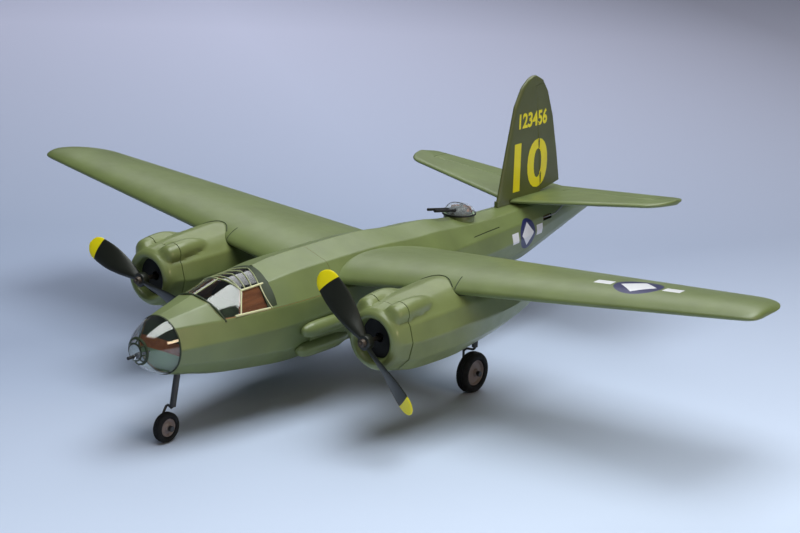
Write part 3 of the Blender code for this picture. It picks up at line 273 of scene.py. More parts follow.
class Graph:
    """A material under construction, with its Principled shader."""

    def __init__(self, name, roughness=0.5, **settings):
        self.material = bpy.data.materials.new(name)
        self.material.use_nodes = True
        self.tree = self.material.node_tree
        self.inputs = self.tree.nodes["Principled BSDF"].inputs
        self.inputs["Roughness"].default_value = roughness
        for socket, value in settings.items():
            self.inputs[socket.replace("_", " ")].default_value = value
        self.place = self.add("TexCoord").outputs["Object"]

    def add(self, kind, *values):
        """A new node with its first inputs filled."""
        node = self.tree.nodes.new("ShaderNode" + kind)
        for socket, value in zip(node.inputs, values):
            self.put(socket, value)
        return node

    def put(self, socket, value):
        if isinstance(value, bpy.types.NodeSocket):
            self.tree.links.new(value, socket)
        else:
            socket.default_value = value

    def math(self, operation, *values):
        node = self.add("Math", *values)
        node.operation = operation
        return node.outputs[0]

    def weighed(self, first, by_first, second, by_second):
        """The sum of two values, each times its own number."""
        parts = ((first, by_first), (second, by_second))
        return self.math("ADD", *(self.math("MULTIPLY", *part) for part in parts))

    def axes(self):
        return self.add("SeparateXYZ", self.place).outputs

    def stretched(self, scale):
        node = self.add("Mapping", self.place)
        node.inputs["Scale"].default_value = scale
        return node.outputs[0]

    def noise(self, scale, detail=4.0, vector=None):
        node = self.add("TexNoise", vector or self.place)
        node.inputs["Scale"].default_value = scale
        node.inputs["Detail"].default_value = detail
        return node.outputs["Fac"]

    def ranged(self, value, low, high, to_low=0.0, to_high=1.0):
        return self.add("MapRange", value, low, high, to_low, to_high).outputs[0]

    def within(self, value, edge, soft=SOFT_EDGE):
        """1 where value is under edge, with a slightly soft edge."""
        return self.ranged(value, edge - soft, edge + soft, 1.0, 0.0)

    def around(self, value, middle, half):
        """1 where value lies within half of middle."""
        return self.within(self.math("ABSOLUTE", self.math("SUBTRACT", value, middle)), half)

    def reach(self, first, second):
        """The distance of a point from the middle of two axes."""
        squares = [self.math("POWER", axis, 2.0) for axis in (first, second)]
        return self.math("SQRT", self.math("ADD", *squares))

    def mixed(self, share, first, second):
        node = self.add("Mix", share)
        node.data_type = "RGBA"
        self.put(node.inputs[6], full(first))
        self.put(node.inputs[7], full(second))
        return node.outputs[2]

    def colour(self, value):
        self.put(self.inputs["Base Color"], full(value))

    def rough(self, value, low, high, to_low, to_high):
        self.put(self.inputs["Roughness"], self.ranged(value, low, high, to_low, to_high))

    def bump(self, height, distance):
        node = self.add("Bump", 1.0, distance)
        self.put(node.inputs["Height"], height)
        self.put(self.inputs["Normal"], node.outputs[0])


def mottled(graph, base, spread_share, scale=26.0):
    """A colour that drifts lighter and darker over the surface."""
    dark = [c * (1 - spread_share) for c in base]
    light = [min(1.0, c * (1 + spread_share)) for c in base]
    return graph.mixed(graph.ranged(graph.noise(scale, 3.0), 0.3, 0.7), dark, light)


def roundel(graph, colour, along, across, radius, bar_middle, bar_size):
    """A blue disc on the colour, and where a white diamond and two detached bars go."""
    result = graph.mixed(graph.within(graph.reach(along, across), radius), colour, ROUNDEL_BLUE)
    steps = [graph.math("ABSOLUTE", axis) for axis in (along, across)]
    diamond = graph.within(graph.math("ADD", *steps), radius * DIAMOND_SHARE)
    long = graph.around(steps[0], bar_middle, bar_size[0] / 2)
    wide = graph.around(across, 0.0, bar_size[1] / 2)
    return result, graph.math("MAXIMUM", diamond, graph.math("MULTIPLY", long, wide))


def fuselage_mark(graph, colour):
    middle_y, middle_z, *sizes = SIDE_MARK
    x, y, z = graph.axes()
    along = graph.math("SUBTRACT", y, middle_y)
    across = graph.math("SUBTRACT", z, middle_z)
    result, white = roundel(graph, colour, along, across, *sizes)
    side = graph.ranged(graph.math("ABSOLUTE", x), 0.004, 0.005)
    return graph.mixed(graph.math("MULTIPLY", white, side), result, ROUNDEL_WHITE)


def wing_mark(graph, colour):
    middle_x, middle_y, *sizes = WING_MARK
    x, y, _ = graph.axes()
    from_x, from_y = graph.math("SUBTRACT", x, middle_x), graph.math("SUBTRACT", y, middle_y)
    cosine, sine = math.cos(WING_MARK_TURN), math.sin(WING_MARK_TURN)
    along = graph.weighed(from_x, cosine, from_y, sine)
    across = graph.weighed(from_y, cosine, from_x, -sine)
    result, white = roundel(graph, colour, along, across, *sizes)
    normal = graph.add("SeparateXYZ", graph.add("NewGeometry").outputs["Normal"])
    top = graph.ranged(normal.outputs[2], 0.0, 0.1)
    return graph.mixed(top, colour, graph.mixed(white, result, ROUNDEL_WHITE))


def paint(name, base, roughness=0.42, grain=1.0, mark=None, coat=0.45):
    """Sprayed model paint over planked wood: slow drift, faint grain, satin gloss."""
    graph = Graph(name, roughness, Coat_Weight=coat, Coat_Roughness=0.38)
    colour = mottled(graph, base, 0.10)
    graph.colour(mark(graph, colour) if mark else colour)
    graph.rough(graph.noise(60.0, 5.0), 0.25, 0.75, roughness - 0.07, roughness + 0.08)
    wood = graph.noise(700.0, 3.0, graph.stretched(ALONG_GRAIN))
    graph.bump(graph.weighed(wood, grain, graph.noise(1400.0, 3.0), 1.0), 0.00005)
    return graph.material


def plastic(name, base, roughness, coat=0.0):
    """Moulded plastic with a faint pebble."""
    graph = Graph(name, roughness, Coat_Weight=coat)
    graph.colour(mottled(graph, base, 0.08, 40.0))
    graph.rough(graph.noise(90.0, 4.0), 0.3, 0.7, roughness - 0.05, roughness + 0.07)
    graph.bump(graph.noise(1800.0, 2.0), 0.00003)
    return graph.material


def blade_paint(name, sign):
    """Black blade with yellow tips, told apart by the distance from the shaft."""
    graph = Graph(name, 0.38)
    x, _, z = graph.axes()
    shaft = ((x, sign * NACELLE_X * MM), (z, THRUST_Z * MM))
    away = graph.reach(*(graph.math("SUBTRACT", *pair) for pair in shaft))
    tip = graph.within(away, TIP_PAINT * MM, 2 * SOFT_EDGE)
    black = mottled(graph, linear(26, 29, 22), 0.15)
    graph.colour(graph.mixed(tip, mottled(graph, YELLOW, 0.05), black))
    graph.bump(graph.noise(1500.0, 2.0), 0.00003)
    return graph.material


def sheer(name, tint, drift, roughness, **settings):
    """Clear formed plastic, faintly tinted."""
    graph = Graph(name, roughness, **settings)
    other = [min(1.0, c * drift) for c in tint]
    graph.colour(graph.mixed(graph.noise(30.0, 2.0), tint, other))
    return graph.material


def rubber(name):
    graph = Graph(name, 0.75, Specular_IOR_Level=0.3)
    dust = graph.ranged(graph.noise(220.0, 6.0), 0.45, 0.75, 0.0, 0.5)
    graph.colour(graph.mixed(dust, linear(14, 15, 16), linear(34, 34, 34)))
    graph.rough(graph.noise(150.0), 0.3, 0.7, 0.62, 0.85)
    graph.bump(graph.noise(1500.0, 4.0), 0.0001)
    return graph.material


def metal(name, level, roughness, brushed=(1.0, 1.0, 1.0)):
    graph = Graph(name, roughness, Metallic=1.0)
    graph.colour(mottled(graph, linear(*level), 0.12, 60.0))
    streak = graph.noise(900.0, 3.0, graph.stretched(brushed))
    graph.rough(streak, 0.3, 0.7, roughness - 0.08, roughness + 0.1)
    graph.bump(streak, 0.00002)
    return graph.material


def timber(name, pale, dark, roughness=0.6):
    """Bare sheet wood with its grain along the model."""
    graph = Graph(name, roughness)
    grain = graph.noise(260.0, 5.0, graph.stretched((1.0, 0.06, 1.0)))
    broad = graph.noise(25.0, 2.0, graph.stretched((1.0, 0.3, 1.0)))
    share = graph.ranged(graph.weighed(grain, 0.7, broad, 0.4), 0.35, 0.75)
    graph.colour(graph.mixed(share, linear(*pale), linear(*dark)))
    graph.rough(grain, 0.3, 0.7, 0.5, 0.7)
    graph.bump(grain, 0.0001)
    return graph.material


def wrapped(name):
    """Shrink film round battery cells: glossy, with soft wrinkles."""
    graph = Graph(name, 0.3)
    wrinkle = graph.noise(110.0, 5.0, graph.stretched((1.0, 0.3, 1.0)))
    share = graph.ranged(wrinkle, 0.35, 0.65)
    graph.colour(graph.mixed(share, linear(22, 52, 112), linear(40, 84, 160)))
    graph.rough(wrinkle, 0.3, 0.7, 0.2, 0.4)
    graph.bump(wrinkle, 0.0004)
    return graph.material


MATS = {
    "skin": paint("olive_paint", OLIVE),
    "fuselage": paint("olive_paint_fuselage", OLIVE, mark=fuselage_mark),
    "wing": paint("olive_paint_wing", OLIVE, mark=wing_mark),
    "tail": paint("olive_paint_tail", OLIVE),
    "fin": paint("drab_paint_fin", linear(86, 92, 46), 0.45),
    # Dark drab: frames and bands, and painted shade on cut faces in slits, openings and joint gaps,
    # and on the strip behind the canopy.
    "frame_band_and_shade": paint("drab_frames_and_painted_shade", DRAB, 0.6, 0.3, None, 0.0),
    # Pale and cream canopy frames: their paint and, partly, a painted highlight along them.
    "frame_light_and_highlight": paint("light_frames_and_painted_highlight", linear(158, 166, 118), 0.35, 0.3),
    "cream": paint("cream_frames_and_painted_highlight", linear(206, 204, 160), 0.3, 0.3),
    # Grey-green: the turret floor's paint, and a painted reflection of the floor on the nose
    # former's lower band.
    "grey_green": paint("grey_green_inside_and_floor_reflection", linear(136, 164, 128), 0.6, 0.3, None, 0.0),
    "cowl": plastic("olive_cast", OLIVE_CAST, 0.4, 0.25),
    "black": plastic("black_moulded", linear(20, 20, 21), 0.5),
    "engine": plastic("dummy_engine_black", linear(9, 10, 9), 0.7),
    "blade_left": blade_paint("blade_paint_left", 1),
    "blade_right": blade_paint("blade_paint_right", -1),
    "clear": sheer(
        "clear_shell", [0.93, 0.95, 0.93], 1.04, 0.03, Transmission_Weight=1.0, IOR=1.57
    ),
    # Too thin to bend what is behind it.
    "clear_thin": sheer("clear_thin", [0.62, 0.68, 0.72], 0.92, 0.2, Alpha=0.13),
    "rubber": rubber("tyre_rubber"),
    "hub": plastic("hub_plastic", linear(124, 112, 108), 0.5),
    "leg": metal("leg_tube", (82, 82, 82), 0.5, (1.0, 1.0, 0.1)),
    "steel": metal("spring_wire", (150, 150, 150), 0.35, (1.0, 0.1, 1.0)),
    "dull_steel": metal("dull_steel", (92, 84, 78), 0.55),
    "motor": metal("motor_shell", (150, 150, 154), 0.35),
    "ply": timber("birch_sheet", (196, 164, 116), (150, 112, 66)),
    "amber": timber("amber_sheet", (176, 100, 44), (112, 58, 22), 0.45),
    "cockpit": paint("cockpit_green", linear(50, 64, 36), 0.6, 0.3, None, 0.0),
    "balsa": timber("balsa_inside", (190, 140, 84), (140, 92, 46)),
    "radio": plastic("radio_shell", linear(28, 30, 38), 0.45),
    "nylon": plastic("white_nylon", linear(226, 226, 216), 0.45),
    "battery": wrapped("battery_film"),
    "yellow": paint("yellow_digits", YELLOW, 0.4, 0.3),
}



# ---- mesh helpers


def blend(stations, y):
    """The row of a station table at y, on a smooth curve through its neighbours."""
    last = len(stations) - 1
    at = max(0, min(last - 1, sum(row[0] <= y for row in stations) - 1))
    rows = [stations[max(0, min(last, at + step))] for step in (-1, 0, 1, 2)]
    width = rows[2][0] - rows[1][0]
    share = max(0.0, min(1.0, (y - rows[1][0]) / width))
    square, cube = share**2, share**3
    result = []
    for before, start, end, after in zip(*(row[1:] for row in rows)):
        slope_in = (end - before) / max(1e-6, rows[2][0] - rows[0][0]) * width
        slope_out = (after - start) / max(1e-6, rows[3][0] - rows[1][0]) * width
        result.append(
            (2 * cube - 3 * square + 1) * start
            + (cube - 2 * square + share) * slope_in
            + (3 * square - 2 * cube) * end
            + (cube - square) * slope_out
        )
    return result


def along_table(table, at):
    """Straight-line reading of a two-column table."""
    for (low, first), (high, second) in zip(table, table[1:]):
        if at <= high:
            return first + (second - first) * (at - low) / (high - low)
    return table[-1][1]


def loft(rings, closed=False):
    """A skin through rings of points; a ring of one point is a tip."""
    bm = bmesh.new()
    rows = [[bm.verts.new(point) for point in ring] for ring in rings]
    pairs = list(zip(rows, rows[1:]))
    if closed:
        pairs.append((rows[-1], rows[0]))
    for first, second in pairs:
        count = max(len(first), len(second))
        for i in range(count if count > 1 else 0):
            j = (i + 1) % count
            corners = [first[i % len(first)], first[j % len(first)]]
            corners += [second[j % len(second)], second[i % len(second)]]
            bm.faces.new(list(dict.fromkeys(corners)))
    for row in () if closed else (rows[0], rows[-1]):
        if len(row) > 2:
            bm.faces.new(row)
    return bm


def merged(parts):
    """One bmesh from several."""
    whole = bmesh.new()
    for part in parts:
        shell = bpy.data.meshes.new("merging")
        part.to_mesh(shell)
        part.free()
        whole.from_mesh(shell)
        bpy.data.meshes.remove(shell)
    return whole


def ring_of(centre, radius, first, second, sides):
    """Points round a centre, in the plane of two directions."""
    turns = [math.tau * k / sides for k in range(sides)]
    return [centre + radius * (math.cos(t) * first + math.sin(t) * second) for t in turns]


def frame_of(axis):
    """Two directions across an axis."""
    along = Vector(axis).normalized()
    helper = Vector(UP) if abs(along.z) < 0.9 else Vector(OUT)
    first = helper.cross(along).normalized()
    return first, along.cross(first)


def circle(centre, radius, axis, sides):
    if radius <= 0:
        return [Vector(centre)]
    return ring_of(Vector(centre), radius, *frame_of(axis), sides)


def turned(profile, centre, axis, sides=64, closed=False):
    """A turned solid: profile rows are distance along the axis and radius."""
    along, centre = Vector(axis).normalized(), Vector(centre)
    rings = [circle(centre + along * at, radius, axis, sides) for at, radius in profile]
    return loft(rings, closed)


def both_ways(profile):
    """A profile given from its low end to the middle, and its mirror image after it."""
    return [*profile, *((-at, radius) for at, radius in reversed(profile))]


def rounded(profile, radius, steps=3):
    """An open profile with its corners rounded off by a small radius."""
    points = [Vector(point) for point in profile]
    result = [points[0]]
    for before, corner, after in zip(points, points[1:], points[2:]):
        inward, outward = before - corner, after - corner
        reach = min(radius, inward.length * 0.45, outward.length * 0.45)
        start = corner + inward.normalized() * reach
        end = corner + outward.normalized() * reach
        for s in spread(0.0, 1.0, steps):
            result.append(start * (1 - s) ** 2 + corner * 2 * s * (1 - s) + end * s**2)
    return [tuple(point) for point in (*result, points[-1])]


def cylinder(start, end, radius, sides=32):
    axis = Vector(end) - Vector(start)
    return turned(((0, radius), (axis.length, radius)), start, axis, sides)


def rod(points, radius, sides=10):
    """A round wire through points, mitred at its bends."""
    runs = [(b - a).normalized() for a, b in zip(points, points[1:])]
    bends = [(a + b).normalized() for a, b in zip(runs, runs[1:])]
    side = frame_of(runs[0])[0]
    rings = []
    for point, aim in zip(points, (runs[0], *bends, runs[-1])):
        side = (side - side.dot(aim) * aim).normalized()
        rings.append(ring_of(point, radius, side, aim.cross(side), sides))
    return loft(rings)


def block(low, high):
    low, high = Vector(low), Vector(high)
    corners = [(low.x, low.y), (high.x, low.y), (high.x, high.y), (low.x, high.y)]
    return loft([[Vector((x, y, z)) for x, y in corners] for z in (low.z, high.z)])


def side_block(sign, xs, low, high):
    """A block on one side: two distances out from the middle, then y and z of its corners."""
    first, second = sorted(sign * x for x in xs)
    return block((first, *low), (second, *high))


def plate(sign, xs, profile):
    """A flat plate on one side: two distances out from the middle, and its y, z outline."""
    return loft([[Vector((x, y, z)) for y, z in profile] for x in sorted(sign * x for x in xs)])


def mirrored(points):
    return [Vector((-point.x, point.y, point.z)) for point in points]


def cut(bm, look):
    return "DIFFERENCE", bm, look


def keep(bm, look):
    return "INTERSECT", bm, look


def join(bm, look):
    return "UNION", bm, look


def solid(name, bm, look):
    """A mesh object in metres from a bmesh in millimetres."""
    bmesh.ops.recalc_face_normals(bm, faces=bm.faces)
    if bm.calc_volume(signed=True) < 0:
        bmesh.ops.reverse_faces(bm, faces=bm.faces)
    bmesh.ops.scale(bm, vec=(MM, MM, MM), verts=bm.verts)
    mesh = bpy.data.meshes.new(name)
    bm.to_mesh(mesh)
    bm.free()
    mesh.materials.append(MATS[look])
    return linked(bpy.data.objects.new(name, mesh))


def linked(obj):
    bpy.context.scene.collection.objects.link(obj)
    return obj


def evaluated_mesh(obj):
    bpy.context.view_layer.update()
    graph = bpy.context.evaluated_depsgraph_get()
    return bpy.data.meshes.new_from_object(obj.evaluated_get(graph))


def shaped(obj, steps):
    """obj after a list of (operation, bmesh, look) Booleans, as a plain mesh."""
    helpers = []
    for operation, bm, look in steps:
        helpers.append(solid("helper", bm, look))
        modifier = obj.modifiers.new(operation, "BOOLEAN")
        modifier.operation = operation
        modifier.solver = "EXACT"
        modifier.material_mode = "TRANSFER"
        modifier.object = helpers[-1]
    mesh = evaluated_mesh(obj)
    mesh.name = obj.name
    obj.modifiers.clear()
    obj.data = mesh
    for helper in helpers:
        bpy.data.objects.remove(helper)


def piece(name, bm, look, body, nodes=(), steps=(), sharp=40.0, weigh=False):
    """A finished visible piece: cut to shape, smoothed, and riding on its body."""
    obj = solid(name, bm, look)
    if steps:
        shaped(obj, steps)
    obj.data.shade_smooth()
    obj.data.set_sharp_from_angle(angle=math.radians(sharp))
    if weigh:
        obj.modifiers.new("flat_planks", "WEIGHTED_NORMAL").keep_sharp = True
    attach(obj, body)
    if nodes:
        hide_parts(*nodes)


# ---- fuselage


def on_skin(y, degrees, offset=0.0, swell=1.0):
    """Point on the fuselage's section at an angle up from the left side."""
    centre, half_width, half_height = blend(FUSELAGE, y)
    t = math.radians(degrees)
    width, height = (half_width + offset) * swell, (half_height + offset) * swell
    return Vector((width * math.cos(t), y, centre + height * math.sin(t)))


def fuselage_ring(y, offset=0.0, soft=True):
    """Planks between straight longerons, each ridge rounded a little if soft."""
    centre, _, half_height = blend(FUSELAGE, y)
    lift = math.degrees(math.asin((LONGERON_Z - centre) / half_height))
    upper = [0.0, lift, (lift + 90.0) / 2]
    turns = [*upper, 90.0, *(180.0 - turn for turn in reversed(upper)), *LOWER_RIDGES]
    ridges = [on_skin(y, turn, offset, RIDGE) for turn in turns]
    if not soft:
        return ridges
    ring = []
    for k, ridge in enumerate(ridges):
        before, after = ridges[k - 1] - ridge, ridges[(k + 1) % len(ridges)] - ridge
        back, on = (
            ridge + run.normalized() * min(RIDGE_ROUND, run.length * 0.3)
            for run in (before, after)
        )
        ring += [back, ridge * 0.5 + (back + on) * 0.25, on, ridge + after / 2]
    return ring


def fuselage_solid(offset, first, last, step=STATION_STEP, soft=True):
    levels = spread(first, last, max(2, round((last - first) / step)))
    return loft([fuselage_ring(y, offset, soft) for y in levels])


FRONT_Y, REAR_Y = FUSELAGE[0][0], FUSELAGE[-1][0]


def fuselage_inner(offset=-SHELL):
    return fuselage_solid(offset, FRONT_Y - 20, REAR_Y - TAIL_WALL, 14.0, False)


def fuselage_around(offset=GAP, step=9.0):
    return fuselage_solid(offset, FRONT_Y - 20, REAR_Y + 20, step, False)


def hatch_box(gap):
    """A block whose front face leans forward as it rises from the sill."""
    rings = []
    for z in (HATCH_SILL + gap, 200.0):
        face, back = HATCH_FRONT + gap - HATCH_LEAN * (z - HATCH_SILL), HATCH_REAR - gap
        corners = ((-70, face), (70, face), (70, back), (-70, back))
        rings.append([Vector((x, y, z)) for x, y in corners])
    return loft(rings)


def window_tool(front, rear):
    """A cutter over the crown of the skin; front and rear give y by the angle up the side."""
    rings = []
    for turn in spread(27.0, 153.0, 42):
        side = min(turn, 180.0 - turn)
        ends = along_table(front, side), along_table(rear, side)
        corners = ((ends[0], -9.0), (ends[0], 8.0), (ends[1], 8.0), (ends[1], -9.0))
        rings.append([on_skin(y, turn, offset) for y, offset in corners])
    return loft(rings)


def nose_leg_point(z):
    return Vector((0, -306.5 + 0.2 * (z - 30.0), z))


def rudder_post(z):
    share = (z - RUDDER_BASE_Z) / (RUDDER_TOP_Z - RUDDER_BASE_Z)
    return Vector((0, RUDDER_HINGE_BASE + (RUDDER_HINGE_TOP - RUDDER_HINGE_BASE) * share, z))


def make_fuselage():
    steps = [
        cut(fuselage_inner(), "balsa"),
        cut(hatch_box(0), "balsa"),
        cut(stabiliser_solid(GAP), "balsa"),
        cut(cylinder(nose_leg_point(50), nose_leg_point(75), 3.8), "balsa"),
        cut(cylinder(rudder_post(121), rudder_post(136), 2.6), "balsa"),
    ]
    for _, sign in SIDES:
        # Dark drab on the faces of the slits and pushrod openings: painted shade inside them.
        slit = side_block(sign, (16, 45), (SLOT_FRONT, SLOT_LOW), (SLOT_REAR, SLOT_HIGH))
        steps.append(cut(slit, "frame_band_and_shade"))
        steps.append(cut(side_block(sign, (10, 30), ROD_SLOT_LOW, ROD_SLOT_HIGH), "frame_band_and_shade"))
    bm = fuselage_solid(0, FRONT_Y, REAR_Y)
    piece("fuselage_skin", bm, "fuselage", "airframe", ["fuselage"], steps, 30, True)


# Canopy: y, x and z of the front and rear ends of its crown, rail and sill.
CROWN = ((-248.0, 0.0, 137.4), (-208.5, 0.0, 139.2))
RAIL = ((-242.5, 23.3, 130.0), (-213.5, 25.0, 131.6))
SILL = ((-257.0, 37.3, 113.2), (-218.0, 41.7, 112.8))
RAIL_SHARE = 0.55
ROOF_BULGE, SIDE_BULGE = Vector((0.77, 0, 2.2)), Vector((0.24, 0, 0.18))
SEAM_BACK = 2.4
# Overhead ribs: how far back along the crown and along the rail each one meets it.
RIBS = ((0.19, 0.0), (0.47, 0.19), (0.75, 0.46), (1.0, 0.76))
POST, POST_LEAN = 0.8, 0.14
ACROSS = spread(0.0, 1.0, 22)
# Window cut in the hatch: angle up the side, y.
WINDOW_FRONT = ((27.0, -274.6), (45.0, -277.0), (60.0, -279.6), (90.0, -281.9))
WINDOW_REAR = ((27.0, -214.0), (56.0, -210.5), (90.0, -203.5))


def seam_point(turn, back=SEAM_BACK, offset=-0.5):
    """A point on the skin a little behind the hatch's leaning front edge."""
    y = HATCH_FRONT
    for _ in range(4):
        point = on_skin(y, turn, offset)
        y = HATCH_FRONT + back - HATCH_LEAN * (point.z - HATCH_SILL)
    return on_skin(y, turn, offset)


def line_point(line, share):
    y, x, z = (first + (last - first) * share for first, last in zip(*line))
    return Vector((x, y, z))


def pane_shares(across):
    """How far a point lies across the roof, and then down the side pane."""
    return min(1.0, across / RAIL_SHARE), max(0.0, (across - RAIL_SHARE) / (1 - RAIL_SHARE))


def canopy_point(across, back, sill_back=None):
    """A point of the canopy: across runs 0 at the crown to 1 at the sill; back is how far
    to the rear it lies along the crown and the rail, and sill_back along the sill."""
    sill = line_point(SILL, back if sill_back is None else sill_back)
    crown, rail = line_point(CROWN, back), line_point(RAIL, back)
    roof, side = pane_shares(across)
    if across < RAIL_SHARE:
        return crown.lerp(rail, roof) + ROOF_BULGE * (4 * roof * (1 - roof))
    return rail.lerp(sill, side) + SIDE_BULGE * (4 * side * (1 - side))


def skin_turn(across, sweep):
    """The angle up the skin where the glazing's edge meets it."""
    roof, side = pane_shares(across)
    return 90.0 - sweep * (0.54 * roof + 0.46 * side)


def whole_row(half):
    """A row across the canopy from its port half, which runs from the crown down."""
    return mirrored(half[1:])[::-1] + half


def windshield_row(share):
    fronts = [seam_point(skin_turn(across, 62.5)) for across in ACROSS]
    pairs = zip(fronts, ACROSS)
    return whole_row([front.lerp(canopy_point(across, 0), share) for front, across in pairs])


def sheet_of(rows, thick):
    """A thin closed shell under a grid of points."""
    rings = []
    for row in rows:
        aways = [Vector((point.x, 0, point.z - 100.0)).normalized() for point in row]
        inner = [point - away * thick for point, away in zip(row, aways)]
        rings.append(row + inner[::-1])
    return loft(rings)


def make_canopy_frames():
    seam = [seam_point(turn, SEAM_BACK, -0.2) for turn in range(26, 155, 4)]
    piece("canopy_front_frame", rod(seam, 1.15), "frame_band_and_shade", "hatch", ())
    top = [canopy_point(a, 0) for a in ACROSS if a <= RAIL_SHARE + 0.01]
    bars = [rod(whole_row(top), 0.8), rod([seam_point(90.0), canopy_point(0, 0)], 0.7)]
    for crown, rail in RIBS:
        shares = spread(0.0, 1.0, 12)
        half = [canopy_point(s * RAIL_SHARE, crown + (rail - crown) * s) for s in shares]
        bars.append(rod(whole_row(half), 0.6))
    # The ribs' pale colour is partly their paint and partly a painted highlight along them.
    piece("canopy_ribs", merged(bars), "frame_light_and_highlight", "hatch", ())

    low = [a for a in ACROSS if a >= RAIL_SHARE - 0.01]
    side_bars = [
        ([canopy_point(a, 0) for a in low], 0.65),
        ([canopy_point(RAIL_SHARE, back) for back in spread(0.0, 0.93, 8)], 1.1),
        ([canopy_point(1.0, back) for back in spread(-0.16, 0.88, 8)], 1.1),
        ([canopy_point(a, POST, POST + POST_LEAN * pane_shares(a)[1]) for a in low], 0.65),
    ]
    posts = [rod(run, thick) for half, thick in side_bars for run in (half, mirrored(half))]
    # The cream posts, rails and sill bars: partly their paint, partly a painted highlight along
    # them.
    piece("canopy_posts", merged(posts), "cream", "hatch", ())


def make_hatch():
    steps = [
        cut(fuselage_inner(), "balsa"),
        keep(hatch_box(GAP), "balsa"),
        cut(window_tool(WINDOW_FRONT, WINDOW_REAR), "frame_band_and_shade"),
    ]
    bm = fuselage_solid(0, HATCH_FRONT - 20, HATCH_REAR + 10)
    piece("hatch_skin", bm, "fuselage", "hatch", ["canopy_hatch"], steps, 30, True)
    rows = [windshield_row(k / 12) for k in range(12)]
    rows += [whole_row([canopy_point(a, back) for a in ACROSS]) for back in spread(0.0, 1.0, 12)]
    glass = sheet_of(rows, 0.9)
    piece("canopy_glass", glass, "clear", "hatch", ["canopy_glazing"], (), 24)
    make_canopy_frames()

    # A dark drab strip from the glazing's rear edge back to the skin: painted shade of the joint
    # there.
    first, second = [], []
    for across in ACROSS:
        roof, side = pane_shares(across)
        glazing = canopy_point(across, 1.0 - 0.22 * roof + 0.06 * side)
        first.append(glazing + Vector((0, 0, 0.35)))
        y = -203.5 - 7.0 * roof - 3.5 * side
        second.append(on_skin(y, skin_turn(across, 63.0), 0.1))
    rows = [whole_row([a.lerp(b, k / 4) for a, b in zip(first, second)]) for k in range(5)]
    shade_band = sheet_of(rows, 1.6)
    piece("canopy_rear_shade_band", shade_band, "frame_band_and_shade", "hatch", (), (), 30)

    floor = block((-40, -272, 104.5), (40, -205, 106.0))
    wall = block((-60, -214.5, 104.6), (60, -212.0, 150.0))
    for name, bm, offset in (("floor", floor, -3.0), ("wall", wall, -3.6)):
        steps = [keep(fuselage_inner(offset), "cockpit")]
        piece("cockpit_" + name, bm, "cockpit", "hatch", (), steps, 32)
    # Side boards close behind the cabin windows.
    boards = []
    for sign in (1, -1):
        rows = []
        for across in (RAIL_SHARE + 0.02, 1.1):
            row = [canopy_point(across, back) for back in (0.03, 0.3, 0.6, 0.95)]
            rows.append([Vector((sign * (p.x - 2.6), p.y, p.z)) for p in row])
        outer = rows[0] + rows[1][::-1]
        boards.append(loft([outer, [p - Vector((sign * 1.5, 0, 0)) for p in outer]]))
    piece("cockpit_side_boards", merged(boards), "amber", "hatch", (), (), 32)


# ---- nose

CONE_RIBS = (85.0, 40.0, -8.0, 140.0, 188.0, 225.0, 270.0, 315.0)
# Bands round the cone: y of both edges, how far each stands out.
CONE_BANDS = ((-322.05, -323.2, 0.25), (-347.8, -349.0, 0.3), (-351.6, -352.0, 0.3))
# The former behind the glazing, in three bands: z of both edges, look.
FORMER = {
    # The lower band's grey-green is a painted reflection of the floor in the glazing.
    "lower": (60.0, 86.5, "grey_green"),
    "middle": (86.5, 97.5, "amber"),
    "upper": (97.5, 130.0, "cockpit"),
}
MUZZLE = (
    (0, 0), (0, 0.7), (0, 1.5), (9.0, 1.5), (9.6, 2.2), (11, 2.7),
    (13.5, 3.0), (16, 2.4), (18, 1.2), (26, 1.2), (26, 0),
)


def cone_radius(share):
    return CONE_RADIUS * (1 - share**CONE_POWER) ** CONE_ROUND


def cone_share(y):
    return (CONE_START_Y - y) / CONE_LENGTH


def cone_middle(y):
    return Vector((0, y, CONE_BASE_Z + cone_share(y) * (CONE_TIP_Z - CONE_BASE_Z)))


def cone_profile(shares, out):
    """Rows of y and radius on the cone, standing out from it."""
    return [(CONE_START_Y - share * CONE_LENGTH, cone_radius(share) + out) for share in shares]


def cone_rings(rows):
    return [circle(cone_middle(y), radius, (0, -1, 0), 72) for y, radius in rows]


def cone_band(first_y, last_y, out):
    """A raised band on the cone between two stations."""
    shares = spread(cone_share(first_y), cone_share(last_y), 6)
    rows = cone_profile(shares, out) + cone_profile(reversed(shares), -0.9)
    return loft(cone_rings(rows), closed=True)


def cone_rib(degrees):
    """A strip along the cone's tip at an angle up from the left side."""
    t = math.radians(degrees)
    out, side = Vector((math.cos(t), 0, math.sin(t))), Vector((-math.sin(t), 0, math.cos(t)))
    corners = ((-0.5, -0.6), (0.45, -0.6), (0.45, 0.6), (-0.5, 0.6))
    rings = []
    for y in spread(-348.4, -351.8, 10):
        middle = cone_middle(y) + out * cone_radius(cone_share(y))
        rings.append([middle + out * a + side * b for a, b in corners])
    return loft(rings)


